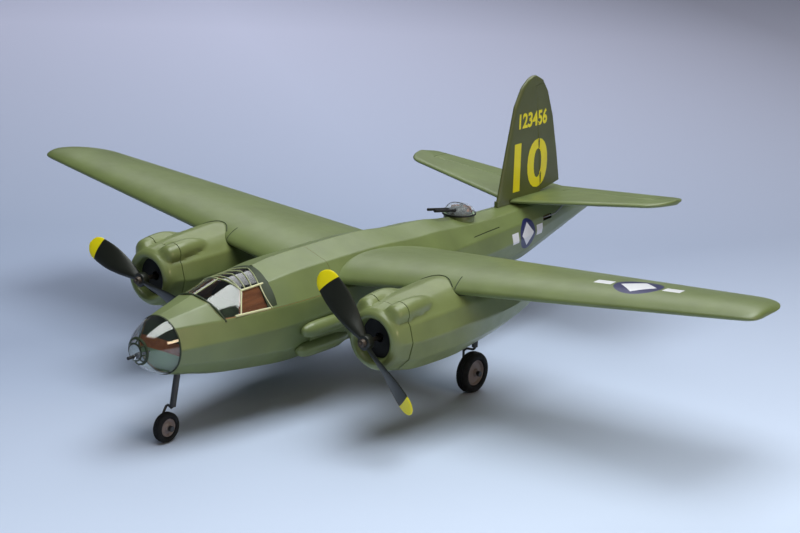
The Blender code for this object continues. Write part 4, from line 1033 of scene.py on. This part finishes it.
def make_nose():
    turns = spread(0.0, math.pi / 2, 26)
    shares = [CONE_FROM + (CONE_TO - CONE_FROM) * math.sin(t) for t in turns]
    tip_y = CONE_START_Y - CONE_TO * CONE_LENGTH - 2.2
    cap = [(tip_y + 0.5, cone_radius(CONE_TO) * 0.72)]
    tips = [[Vector((0, y, CONE_TIP_Z))] for y in (tip_y, tip_y + CONE_WALL)]
    inner = cone_profile(shares, -CONE_WALL)[::-1]
    cone = loft(cone_rings(cone_profile(shares, 0.0) + cap) + tips + cone_rings(inner), True)
    steps = [cut(cylinder((0, GUN_TIP_Y, GUN_Z), (0, -348, GUN_Z), 1.9, 24), "clear")]
    piece("nose_glazing", cone, "clear", "airframe", ["nose_cone"], steps)

    bands = merged(cone_band(*row) for row in CONE_BANDS)
    piece("nose_bands", bands, "frame_band_and_shade", "airframe", (), (), 32)
    ribs = merged(cone_rib(degrees) for degrees in CONE_RIBS)
    piece("nose_ribs", ribs, "frame_band_and_shade", "airframe", (), (), 32)
    # The former's lower band is a painted reflection of the floor in the glazing.
    for name, (low, high, look) in FORMER.items():
        former = block((-40, -321.2, low), (40, -319.6, high))
        steps = [keep(fuselage_inner(-2.6), look)]
        piece("nose_former_" + name, former, look, "airframe", (), steps, 32)
    gun = turned(MUZZLE, (0, GUN_TIP_Y, GUN_Z), AFT, 28)
    piece("nose_muzzle", gun, "black", "airframe", ["nose_gun"], (), 32)


def make_gun_pods():
    turns = spread(0.0, math.pi / 2, 9)
    front_rows = [(18.0 * (1 - math.cos(t)), math.sin(t) ** 0.72) for t in turns]
    front_rows[0] = (0.0, 0.2)
    for side, sign in SIDES:
        steps = [keep(fuselage_around(1.6, 12.0), "cowl")]
        for x, z, radius, front, rear in GUN_PODS:
            rows = [*front_rows, (40, 1.0), (55, 0.93), (rear - front, 0.5)]
            profile = [(step, radius * share) for step, share in rows]
            steps.append(join(turned(profile, (sign * x, front, z), AFT, 36), "cowl"))
        steps.append(cut(fuselage_around(), "cowl"))
        base = side_block(sign, (30, 60), (-172, 61), (-122, 84))
        nodes = ["gun_pods_" + side]
        piece("gun_fairings_" + side, base, "cowl", "airframe", nodes, steps, 35)


# ---- wing


def foil_heights(share):
    curve = 0.2969 * math.sqrt(share) - 0.126 * share - 0.3516 * share**2
    curve += 0.2843 * share**3 - 0.1015 * share**4
    half = 5 * THICKNESS * curve + TRAILING_EDGE * share
    if share < CAMBER_AT:
        line = CAMBER / CAMBER_AT**2 * (2 * CAMBER_AT * share - share**2)
    else:
        line = 1 - 2 * CAMBER_AT + 2 * CAMBER_AT * share - share**2
        line *= CAMBER / (1 - CAMBER_AT) ** 2
    return line + half, line - half


def wing_edges(x):
    lead = WING_LEAD + WING_LEAD_SLOPE * x
    trail = WING_TRAIL + WING_TRAIL_SLOPE * x
    if x > TIP_START:
        share = min(1.0, (x - TIP_START) / (HALF_SPAN - TIP_START))
        lead += (TIP_Y - lead) * (1 - max(0.0, 1 - share**12) ** (1 / 3))
        trail += (TIP_Y - trail) * (1 - max(0.0, 1 - share**2.5) ** (1 / 3))
    return lead, trail


def wing_ring(sign, x, pad):
    lead, trail = wing_edges(x)
    chord, plane = trail - lead, WING_Z + WING_RISE * x
    upper, lower = [], []
    for t in spread(0.0, math.pi, FOIL_STEPS):
        share = (1 - math.cos(t)) / 2
        high, low = foil_heights(share)
        y = lead - pad + share * (chord + 2 * pad)
        upper.append(Vector((sign * x, y, plane + high * chord + pad)))
        lower.append(Vector((sign * x, y, plane + low * chord - pad)))
    return lower + (upper if pad else upper[1:])[::-1]


def wing_solid(sign, pad=0.0, inner=WING_INNER):
    tips = [math.sin(t) for t in spread(0.0, math.pi / 2, 22)[1:-1]] + [0.9985]
    levels = spread(inner, TIP_START, 10)
    levels += [TIP_START + (HALF_SPAN - TIP_START) * tip for tip in tips]
    return loft([wing_ring(sign, x, pad) for x in levels])


def surface_top(x, y):
    lead, trail = wing_edges(x)
    chord = trail - lead
    return WING_Z + WING_RISE * x + chord * foil_heights((y - lead) / chord)[0]


def hinge_prism(ends, outline, extra):
    """An outline of distances behind and above a hinge line, drawn out along it."""
    start, end = (Vector(point) for point in ends)
    length, along = (end - start).length, (end - start).normalized()
    back = (Vector(AFT) - Vector(AFT).dot(along) * along).normalized()
    matrix = Matrix((along, back, along.cross(back))).transposed().to_4x4()
    matrix.translation = start
    levels = (-extra, length + extra)
    return loft([[matrix @ Vector((at, *point)) for point in outline] for at in levels])


def rounded_front(radius, reach, height):
    turns = spread(math.pi / 2, math.pi * 1.5, 16)
    front = [(radius * math.cos(t), radius * math.sin(t)) for t in turns]
    return [(reach, height), (0.4, height), *front, (0.4, -height), (reach, -height)]


def open_box(front, height, reach):
    """The outline of a box that starts a little before or behind a hinge line."""
    return [(reach, height), (front, height), (front, -height), (reach, -height)]


def from_left(sign, points):
    return points if sign > 0 else points[::-1]


def aileron_hinge(sign):
    ends = ((AILERON_INNER, AILERON_HINGE_INNER), (AILERON_OUTER, AILERON_HINGE_OUTER))
    return from_left(sign, [Vector((sign * x, y, surface_top(x, y) - 0.3)) for x, y in ends])


def make_wings():
    depth = 40.0
    bevel = depth * math.tan(AILERON_BEVEL)
    wedge = [(60, depth), (0, depth), (0, 0), (bevel, -depth), (60, -depth)]
    servo_x = AILERON_SERVO_X
    for side, sign in SIDES:
        ends = aileron_hinge(sign)
        look = "wing" if side == "left" else "skin"
        pocket = side_block(sign, (servo_x - 6.3, servo_x + 6.3), (-62.3, 118), (-38.7, 143.7))
        slot = side_block(sign, (servo_x + 5, servo_x + 10), (-62, 118), (-37, 142))
        front_x, rear_x = SLIT_X[side]
        front_y = WING_LEAD + WING_LEAD_SLOPE * front_x + 0.4
        slit = zip(spread(front_x, rear_x, 4), spread(front_y, front_y + 16.0, 4))
        slit = [Vector((sign * x, y, surface_top(x, y) + 0.1)) for x, y in slit]
        steps = [
            cut(fuselage_around(), look),
            cut(hinge_prism(ends, open_box(-0.4, depth, 60), 0.5), look),
            cut(pocket, "balsa"),
            cut(slot, "balsa"),
            # Dark drab on the slit's faces: painted shade inside it.
            cut(rod(slit, 0.6, 8), "frame_band_and_shade"),
        ]
        name, nodes = "wing_panel_" + side, ["wing_" + side]
        piece(name, wing_solid(sign), look, "airframe", nodes, steps, 35)

        y, top = AILERON_HINGE_INNER, AILERON_ARM_Z + 2
        tip = surface_top(servo_x, y) - AILERON_HORN - 2
        outline = ((y + 9, top), (y + 4.5, top - 5), (y - 1.2, tip + 2))
        outline += ((y + 0.5, tip), (y + 2.5, tip), (y + 15, top))
        horn = plate(sign, (servo_x + 6.9, servo_x + 8.3), outline)
        steps = [keep(hinge_prism(ends, wedge, 0), look), join(horn, "nylon")]
        name, body = "aileron_skin_" + side, "aileron_" + side
        piece(name, wing_solid(sign), "skin", body, [body], steps, 35)


# ---- tail


def slab_section(lead, trail, half, pad=0.0):
    """Half outline of a sheet surface: rounded front, flat sides, tapered back. A padded
    one, for cutting, has only a few corners."""
    chord = trail - lead
    half = min(half, 0.22 * chord)
    front, back = min(6.0, 0.3 * chord), min(32.0, 0.45 * chord)
    if pad:
        rows = ((lead - pad, 0.25), (lead + 0.25 * front, 0.68), (lead + front, 1.0))
        rows += ((trail - back, 1.0), (trail + pad, 0.26))
        return [(y, share * half + pad) for y, share in rows]
    nose = [1 - math.cos(t) for t in spread(0.0, math.pi / 2, 8)]
    rows = [(lead + front * s, half * max(0.05, math.sqrt(1 - (1 - s) ** 2))) for s in nose]
    rows += [(y, half) for y in spread(lead + front, trail - back, 8)[1:]]
    shares = spread(0.0, 1.0, 8)[1:]
    return rows + [(trail - back * (1 - s), half * (1 - 0.74 * s**1.15)) for s in shares]


def stab_edges(x):
    lead = STAB_LEAD + STAB_LEAD_SLOPE * x
    trail = STAB_TRAIL + STAB_TRAIL_SLOPE * x
    if x > STAB_ROUND:
        share = (x - STAB_ROUND) / (STAB_HALF_SPAN - STAB_ROUND)
        middle = 0.35 * lead + 0.65 * trail
        lead += (middle - lead) * (1 - math.sqrt(max(0.0, 1 - share**2.4)))
        trail += (middle - trail) * (1 - math.sqrt(max(0.0, 1 - share**4.5)))
    return lead, trail


def stabiliser_solid(pad=0.0):
    span = (STAB_HALF_SPAN - STAB_ROUND) * 0.997
    tips = [STAB_ROUND + span * math.sin(math.pi / 2 * k / 14) for k in range(15)]
    outer = [40.0] if pad else [20.0, 60.0, 100.0, *tips]
    rings = []
    for x in (*(-x for x in reversed(outer)), 0.0, *outer):
        z = STAB_Z + STAB_RISE * abs(x)
        half = slab_section(*stab_edges(abs(x)), STAB_HALF_THICK, pad)
        over = [Vector((x, y, z + h)) for y, h in half]
        rings.append(over + [Vector((x, y, z - h)) for y, h in reversed(half)])
    return loft(rings)


def elevator_hinge(sign):
    ends = ((ELEVATOR_INNER, ELEVATOR_HINGE_INNER), (ELEVATOR_OUTER, ELEVATOR_HINGE_OUTER))
    return from_left(sign, [Vector((sign * x, y, STAB_Z + STAB_RISE * x)) for x, y in ends])


def make_stabiliser():
    box = open_box(-STAB_HALF_THICK - 0.4, 30, 80)
    steps = [cut(cylinder(rudder_post(123), rudder_post(139), 2.4), "tail")]
    steps += [cut(hinge_prism(elevator_hinge(sign), box, 0.5), "tail") for _, sign in SIDES]
    bm = stabiliser_solid()
    piece("tailplane", bm, "tail", "airframe", ["stabiliser"], steps, 35)
    y, z = ELEVATOR_HINGE_INNER - 0.3, STAB_Z + STAB_RISE * 27
    low = z - ELEVATOR_HORN - 1.5
    outline = ((y - 1.0, z - 1), (y - 1.6, low), (y + 1.6, low), (y + 9, z - 1))
    front = rounded_front(STAB_HALF_THICK, 80, 30)
    for side, sign in SIDES:
        horn = plate(sign, (26.6, 28.0), outline)
        steps = [keep(hinge_prism(elevator_hinge(sign), front, 0), "tail"), join(horn, "nylon")]
        name, body = "elevator_skin_" + side, "elevator_" + side
        piece(name, stabiliser_solid(), "tail", body, [body], steps, 35)


def fin_section(z):
    return slab_section(along_table(FIN_LEAD, z), along_table(FIN_TRAIL, z), FIN_HALF_THICK)


def fin_half(y, z):
    """Half thickness of the fin at a point of its side."""
    rows = fin_section(z)
    return along_table(rows, max(rows[0][0], y))


def fin_solid():
    rings = []
    for share in spread(1.0, 0.0, 40):
        z = FIN_BASE + (FIN_TOP - FIN_BASE) * (1 - share**1.6)
        half = fin_section(z)
        over = [Vector((h, y, z)) for y, h in half]
        rings.append(over + mirrored(over)[::-1])
    return loft(rings)


def make_fin():
    base, top = rudder_post(RUDDER_BASE_Z), rudder_post(RUDDER_TOP_Z)
    box = open_box(-FIN_HALF_THICK - 0.4, 30, 80)
    foot = block((-2.2, FIN_LEAD[0][1] - 0.8, 125), (2.2, STAB_LEAD - 0.6, FIN_BASE + 1))
    steps = [
        join(foot, "fin"),
        cut(fuselage_around(), "fin"),
        cut(hinge_prism((rudder_post(120), top), box, 0.5), "fin"),
    ]
    piece("fin_skin", fin_solid(), "fin", "airframe", ["fin"], steps, 35)
    arm_y = rudder_post(112).y
    steps = [
        keep(hinge_prism((base, top), rounded_front(FIN_HALF_THICK, 80, 30), 0), "fin"),
        join(cylinder(rudder_post(109.5), rudder_post(140), 1.6, 24), "steel"),
        join(block((-11.8, arm_y - 1.8, 111.2), (0.6, arm_y + 1.8, 112.8)), "nylon"),
    ]
    piece("rudder_skin", fin_solid(), "fin", "rudder", ["rudder"], steps, 35)


def bisect(bm, place, across, **clear):
    whole = bm.verts[:] + bm.edges[:] + bm.faces[:]
    bmesh.ops.bisect_plane(bm, geom=whole, plane_co=place, plane_no=across, **clear)


def make_digits(name, text, low, high, sign):
    """Painted digits on one side of the fin, laid on its surface and split at the hinge."""
    curve = bpy.data.curves.new(name, "FONT")
    curve.body = text
    curve.resolution_u = 5
    curve.offset = 0.03
    letters = linked(bpy.data.objects.new(name, curve))
    mesh = evaluated_mesh(letters)
    bpy.data.objects.remove(letters)
    flat = bmesh.new()
    flat.from_mesh(mesh)
    bmesh.ops.remove_doubles(flat, verts=flat.verts, dist=1e-5)
    xs, ys = ([vert.co[axis] for vert in flat.verts] for axis in (0, 1))
    for vert in flat.verts:
        u = (vert.co.x - min(xs)) / (max(xs) - min(xs))
        v = (vert.co.y - min(ys)) / (max(ys) - min(ys))
        u = 1 - u if sign < 0 else u
        vert.co = Vector((0, low[0] + u * (high[0] - low[0]), low[1] + v * (high[1] - low[1])))
    for y in spread(low[0], high[0], 24)[1:-1]:
        bisect(flat, (0, y, 0), AFT)
    base, top = rudder_post(RUDDER_BASE_Z), rudder_post(RUDDER_TOP_Z)
    run = (top - base).normalized()
    across = Vector((0, run.z, -run.y))
    rows = (("fin", "airframe", -3.0, True), ("rudder", "rudder", -1.6, False))
    for part, body, edge, on_fin in rows:
        bm = flat.copy()
        bisect(bm, base + across * edge, across, clear_outer=on_fin, clear_inner=not on_fin)
        bmesh.ops.triangulate(bm, faces=bm.faces)
        for vert in bm.verts:
            half = fin_half(vert.co.y, vert.co.z)
            away = (vert.co - base).dot(across)
            if not on_fin and away < 0:
                half = min(half, math.sqrt(FIN_HALF_THICK**2 - away**2))
            vert.co.x = sign * (half + PAINT_LIFT)
        for item in bmesh.ops.extrude_face_region(bm, geom=bm.faces[:])["geom"]:
            if isinstance(item, bmesh.types.BMVert):
                item.co.x += sign * PAINT_THICK
        piece(f"{name}_{part}", bm, "yellow", body, (), (), 30)
    flat.free()


def make_fin_numbers():
    for side, sign in SIDES:
        for name, row in FIN_TEXTS.items():
            make_digits(f"fin_{name}_{side}", *row, sign)


# ---- engines


def smooth_max(a, b, k):
    h = max(k - abs(a - b), 0.0) / k
    return max(a, b) + h * h * k / 4


def scoop_reach(y, turn, middle_z):
    """Distance from the nacelle's middle to the far side of the nearer scoop."""
    if not SCOOP[0][0] <= y <= SCOOP[-1][0]:
        return 0.0
    reach, radius = blend(SCOOP, y)
    best = 0.0
    for scoop_turn in (SCOOP_TURN, -SCOOP_TURN):
        x = reach * math.sin(scoop_turn)
        z = THRUST_Z - 1 + reach * math.cos(scoop_turn) - middle_z
        along = x * math.sin(turn) + z * math.cos(turn)
        across = x * math.cos(turn) - z * math.sin(turn)
        if abs(across) < radius and along > 0:
            best = max(best, along + math.sqrt(radius**2 - across**2))
    return best


def plank_factor(turn):
    """How far a planked section stands out from its mean circle."""
    half = math.pi / PLANKS
    away = abs((turn + half) % (2 * half) - half)
    return math.cos(half) / math.cos(half - away) * RIDGE - 1


def engine_ring(sign, y, middle_z, half_width, half_height, plank=1.0, scooped=True):
    """The nacelle or cowl section, with both scoops melted into it unless it is inside."""
    ring = []
    for k in range(SKIN_SIDES):
        turn = math.tau * k / SKIN_SIDES
        s, c = math.sin(turn), math.cos(turn)
        radius = 1 / math.sqrt((s / half_width) ** 2 + (c / half_height) ** 2)
        if scooped:
            top = max(0.0, min(1.0, (c - 0.45) / 0.3)) * 0.75
            radius *= 1 + plank * (1 - top) * plank_factor(turn)
            radius = smooth_max(radius, scoop_reach(y, turn, middle_z), SCOOP_MELT)
        ring.append(Vector((sign * NACELLE_X + radius * s, y, middle_z + radius * c)))
    return ring


def nacelle_top(x, y):
    """Height of the nacelle's rounded top above a point of its plan."""
    middle, half_width, half_height = blend(NACELLE, y)
    share = (x - NACELLE_X) / half_width
    return middle + half_height * math.sqrt(1 - share**2)


def levels_between(first, last, step):
    return spread(first, last, max(1, math.ceil((last - first) / step)))


def wing_joint(sign):
    """Where the nacelle's top meets the wing, as points across the nacelle."""
    seam = []
    for x in spread(NACELLE_X - 18.0, NACELLE_X + 18.0, 24):
        y = wing_edges(x)[0] + 1.0
        while y < -85.0 and surface_top(x, y) < nacelle_top(x, y):
            y += 0.25
        seam.append(Vector((sign * x, y, surface_top(x, y) + 0.1)))
    return seam


def make_engines():
    nacelle_front, cowl_rear = SEAM_Y + SEAM_GAP / 2, SEAM_Y - SEAM_GAP / 2
    levels = levels_between(nacelle_front, -112.0, 2.5) + levels_between(-108.0, 52.5, 5.0)
    lips = [y for y, _ in COWL[:3]] + levels_between(-198.2, cowl_rear, 1.5)
    for side, sign in SIDES:
        centre, leg_x = (sign * NACELLE_X, 0, THRUST_Z), sign * MAIN_LEG_X
        steps = [
            cut(turned(NACELLE_HOLLOW, centre, AFT), "balsa"),
            # Dark drab on the faces of the gap under the wing: painted shade in the gap.
            cut(wing_solid(sign, 0.7, 60.0), "frame_band_and_shade"),
            cut(cylinder((leg_x, -19.5, 40), (leg_x, -19.5, 86), 3.8), "black"),
        ]
        bm = loft([engine_ring(sign, y, *blend(NACELLE, y)) for y in levels])
        name, nodes = "nacelle_skin_" + side, ["nacelle_" + side]
        piece(name, bm, "cowl", "airframe", nodes, steps, 30)
        bead = rod(wing_joint(sign), 0.45, 8)
        piece("nacelle_seam_" + side, bead, "frame_band_and_shade", "airframe", ())

        rings = []
        for y in lips:
            radius, plank = along_table(COWL, y), max(0.0, min(1.0, (y + 196.0) / 10.0))
            rings.append(engine_ring(sign, y, THRUST_Z, radius, radius, plank))
        for y, radius in COWL_INSIDE:
            rings.append(engine_ring(sign, y, THRUST_Z, radius, radius, scooped=False))
        name, nodes, bm = "cowling_" + side, ["cowl_" + side], loft(rings, closed=True)
        piece(name, bm, "cowl", "airframe", nodes, (), 38)
        make_propeller(side, centre)


def blade_solid(centre, turn):
    radial = Vector((math.cos(turn), 0, math.sin(turn)))
    around = Vector((math.sin(turn), 0, -math.cos(turn)))
    first, last = BLADE[0][0], BLADE[-1][0]
    rings = []
    for share in spread(1.0, 0.0, 60):
        radius = first + (last - first) * (1 - share**1.5)
        chord, thick, pitch = blend(BLADE, radius)
        if radius > BLADE_ROUND:
            share = (radius - BLADE_ROUND) / (PROP_RADIUS - BLADE_ROUND)
            chord = BLADE_CHORD * math.sqrt(max(0.02, 1 - share**2.3))
        angle = math.radians(pitch)
        across = around * math.cos(angle) + Vector(AFT) * math.sin(angle)
        normal = across.cross(radial)
        if normal.y > 0:
            normal = -normal
        ring = []
        for t in spread(0.0, math.tau, 24)[:-1]:
            a = -0.5 * math.cos(t)
            lift = (0.9 if math.sin(t) > 0 else 0.15) * math.sin(t) * (1 - a * 0.6)
            ring.append(centre + radial * radius + across * (a * chord) + normal * (lift * thick))
        rings.append(ring)
    return loft(rings)


def make_propeller(side, centre):
    middle = Vector(centre) + Vector((0, PROP_Y, 0))
    rim = both_ways([(-HUB_HALF, SHAFT_BORE), (-HUB_HALF, HUB_RADIUS)])
    look, body, turn = "blade_" + side, "propeller_" + side, PROP_TURNS[side]
    steps = [join(blade_solid(middle, at), look) for at in (turn, turn + math.pi)]
    hub = turned(rounded(rim, 1.0), middle, AFT, 48, closed=True)
    piece("blades_" + side, hub, look, body, [body], steps, 35)


# ---- wheels


def make_wheel(name, centre, radius, half, rim):
    hub = [(-0.9, AXLE_BORE), (-0.9, 3.4), (-0.62, 4.2)]
    hub += [(-0.42, rim - 2.2), (-0.72, rim - 0.9), (-0.7, rim)]
    bead = rim + GAP
    wall = radius - bead
    tyre = [(-0.72, bead), (-0.92, bead + 0.12 * wall), (-1.0, bead + 0.38 * wall)]
    tyre += [(-0.97, bead + 0.6 * wall), (-0.8, radius - 0.16 * wall)]
    tyre += [(-0.5, radius - 0.03 * wall), (-0.30, radius), (-0.24, radius - 0.5)]
    tyre += [(-0.12, radius - 0.5), (-0.06, radius)]
    hub, tyre = (both_ways([(half * a, reach) for a, reach in rows]) for rows in (hub, tyre))
    node = name.replace("wheel", "hub")
    ring = turned(rounded(hub, 0.5), centre, OUT, 72, closed=True)
    piece(node + "_rim", ring, "hub", name, [node], (), 35)
    node = name.replace("wheel", "tyre")
    ring = turned(rounded(tyre, 0.6, 2), centre, OUT, 96, closed=True)
    piece(node + "_tread", ring, "rubber", name, [node])


def make_wheels():
    for side, sign in SIDES:
        centre = (sign * MAIN_X, MAIN_Y, MAIN_RADIUS)
        make_wheel("main_wheel_" + side, centre, MAIN_RADIUS, MAIN_HALF, MAIN_RIM)
    make_wheel("nose_wheel", (NOSE_X, NOSE_Y, NOSE_RADIUS), NOSE_RADIUS, NOSE_HALF, NOSE_RIM)


# ---- turret

# Turned parts of the turret: height above its base and radius.
TURRET_RING = ((-8.0, 14.8), (-8.0, 16.2), (-1.5, 16.4), (0.0, 15.8), (0.0, 14.8))
TURRET_SILL = ((0.3, 18.1), (2.0, 18.0), (2.0, 17.0), (0.3, 17.2))
TURRET_FLOOR = ((0.4, 0.0), (0.4, 16.6), (1.0, 16.6), (1.0, 0.0))
TURRET_SEAT = (
    (2.4, 0.0), (2.4, 12.5), (3.4, 14.0), (7.0, 12.6),
    (7.0, 11.4), (3.6, 11.0), (3.4, 0.0),
)


def dome_reach(rise, wall=0.0):
    return (DOME_RADIUS - wall) * math.cos(rise) ** DOME_POWER


def dome_hoop(turn, out=0.1):
    """A thin hoop over the bubble, from its base to its top."""
    points = []
    for rise in spread(0.0, math.pi / 2, 18):
        reach = dome_reach(rise) + out * math.cos(rise)
        z = TURRET_BASE + GAP + (DOME_HEIGHT + out) * math.sin(rise)
        points.append(Vector((reach * math.sin(turn), TURRET_Y - reach * math.cos(turn), z)))
    return rod(points, 0.35)


def make_turret():
    base = (0, TURRET_Y, TURRET_BASE)
    shells = []
    for wall in (0.0, DOME_WALL):
        height = DOME_HEIGHT - wall
        rises = spread(0.0, math.pi / 2, 16)[:-1]
        rows = [(GAP + height * math.sin(rise), dome_reach(rise, wall)) for rise in rises]
        shells.append([*rows, (GAP + height, 0.0)])
    aim = Vector((0, -1, 0.16)).normalized()
    cuts = []
    for sign in (1, -1):
        breech = Vector((sign * 4.5, TURRET_Y, TURRET_RING_TOP + 3.2))
        cuts.append(cut(cylinder(breech + aim * 8, breech + aim * 26, 2.0, 24), "clear_thin"))
    bubble = turned(shells[0] + shells[1][::-1], base, UP, 72, closed=True)
    nodes = ["turret_dome"]
    piece("turret_bubble", bubble, "clear_thin", "turret", nodes, cuts)

    ring = turned(TURRET_RING, base, UP, 72, closed=True)
    piece("turret_base_ring", ring, "tail", "airframe", ["turret_ring"])
    hoops = [dome_hoop(turn) for turn in (math.pi / 2, -math.pi / 2)]
    hoops.append(turned(TURRET_SILL, base, UP, 72, closed=True))
    column = Vector((1.5, TURRET_Y + 1.5, TURRET_BASE + 0.8))
    hoops.append(cylinder(column, column + (DOME_HEIGHT - 1.8) * Vector(UP), 2.0, 20))
    piece("turret_frames", merged(hoops), "black", "turret", ())
    floor = turned(TURRET_FLOOR, base, UP, 72)
    piece("turret_floor", floor, "grey_green", "turret", ())
    rear = block((-20, TURRET_Y + 2.5, TURRET_BASE), (20, TURRET_Y + 20, TURRET_BASE + 20))
    seat = turned(TURRET_SEAT, base, UP, 48)
    piece("turret_seat", seat, "amber", "turret", (), [keep(rear, "amber")])


# ---- carried nodes

# The looks of the CAD nodes that stay visible; a * stands for left and for right.
NODE_LOOKS = {
    "leg": "main_leg_* nose_leg",
    "dull_steel": "prop_shaft_*",
    "steel": "rudder_pushrod steering_pushrod elevator_pushrod aileron_pushrod_*",
    "motor": "motor_*",
    "ply": "wing_joiner radio_tray nose_gear_block",
    "radio": "speed_controller receiver rudder_servo elevator_servo aileron_servo_*",
    "nylon": "rudder_servo_arm elevator_servo_arm aileron_arm_*",
    "battery": "battery",
    "engine": "dummy_engine_*",
    "black": "turret_guns",
}


def finish_nodes():
    """A procedural material for every CAD node that stays visible."""
    for look, names in NODE_LOOKS.items():
        for name in {name.replace("*", side) for name in names.split() for side, _ in SIDES}:
            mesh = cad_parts[name].data
            mesh.materials.clear()
            mesh.materials.append(MATS[look])
            for polygon in mesh.polygons:
                polygon.material_index = 0


# ---- stage


def area_light(name, place, aim, size, power, colour):
    data = bpy.data.lights.new(name, "AREA")
    data.shape = "RECTANGLE"
    data.size, data.size_y = size
    data.energy = power
    data.color = colour
    obj = linked(bpy.data.objects.new(name, data))
    obj.location = place
    direction = Vector(aim) - Vector(place)
    obj.rotation_euler = direction.to_track_quat("-Z", "Y").to_euler()


def floor_look():
    """A pale studio sheet, brighter towards the front left and far back and darker midway and to
    the right: painted light and shade.
    """
    graph = Graph("studio_floor", 0.9)
    x, y, _ = graph.axes()
    # Painted light and shade: lighter near the front and far back, darker midway and to the right.
    far, aside = graph.weighed(x, -0.62, y, 0.79), graph.weighed(x, 0.79, y, 0.62)
    near = graph.ranged(graph.weighed(far, 1.0, aside, -0.6), -0.5, 0.25)
    pale = graph.mixed(near, FLOOR_NEAR_PAINTED_LIGHT, FLOOR_MID_PAINTED_SHADE)
    pale = graph.mixed(graph.ranged(far, 0.5, 2.2), pale, FLOOR_FAR_PAINTED_LIGHT)
    right = graph.ranged(graph.weighed(aside, 1.0, far, 0.25), 0.2, 1.45)
    graph.colour(graph.mixed(graph.math("MULTIPLY", right, FLOOR_SIDE_SHADE_SHARE), pale, FLOOR_SIDE_PAINTED_SHADE))
    graph.bump(graph.noise(40.0, 3.0), 0.0002)
    return graph.material


def make_stage():
    near, far = -FLOOR_SIZE, FLOOR_SIZE * 1.6
    corners = ((near, near, 0), (-near, near, 0), (-near, far, 0), (near, far, 0))
    mesh = bpy.data.meshes.new("studio_floor")
    mesh.from_pydata(corners, [], [(0, 1, 2, 3)])
    mesh.materials.append(floor_look())
    floor = linked(bpy.data.objects.new("studio_floor", mesh))
    floor.location.z = -FLOOR_DROP

    world = bpy.data.worlds.new("studio_air")
    world.use_nodes = True
    inputs = world.node_tree.nodes["Background"].inputs
    inputs["Color"].default_value = full(AIR)
    inputs["Strength"].default_value = AIR_STRENGTH
    bpy.context.scene.world = world
    bpy.context.scene.view_settings.view_transform = "Standard"
    for light in LIGHTS:
        area_light(*light)


def make_camera():
    turn, rise = math.radians(CAMERA_TURN), math.radians(CAMERA_RISE)
    away = Vector((math.sin(turn), -math.cos(turn), 0))
    back = away * math.cos(rise) + Vector(UP) * math.sin(rise)
    right = Vector((math.cos(turn), math.sin(turn), 0))
    up = back.cross(right)
    roll = math.radians(CAMERA_ROLL)
    across = right * math.cos(roll) + up * math.sin(roll)
    above = -right * math.sin(roll) + up * math.cos(roll)
    matrix = Matrix((across, above, back)).transposed().to_4x4()
    matrix.translation = (Vector(CAMERA_TARGET) + back * CAMERA_DISTANCE) * MM
    data = bpy.data.cameras.new("photo_view")
    data.lens = CAMERA_LENS
    data.sensor_width = CAMERA_SENSOR
    data.clip_end = CAMERA_REACH
    camera = linked(bpy.data.objects.new("photo_view", data))
    camera.matrix_world = matrix
    bpy.context.scene.camera = camera


def main():
    make_camera()
    make_stage()
    make_fuselage()
    make_hatch()
    make_nose()
    make_gun_pods()
    make_wings()
    make_stabiliser()
    make_fin()
    make_fin_numbers()
    make_engines()
    make_wheels()
    make_turret()
    finish_nodes()


main()
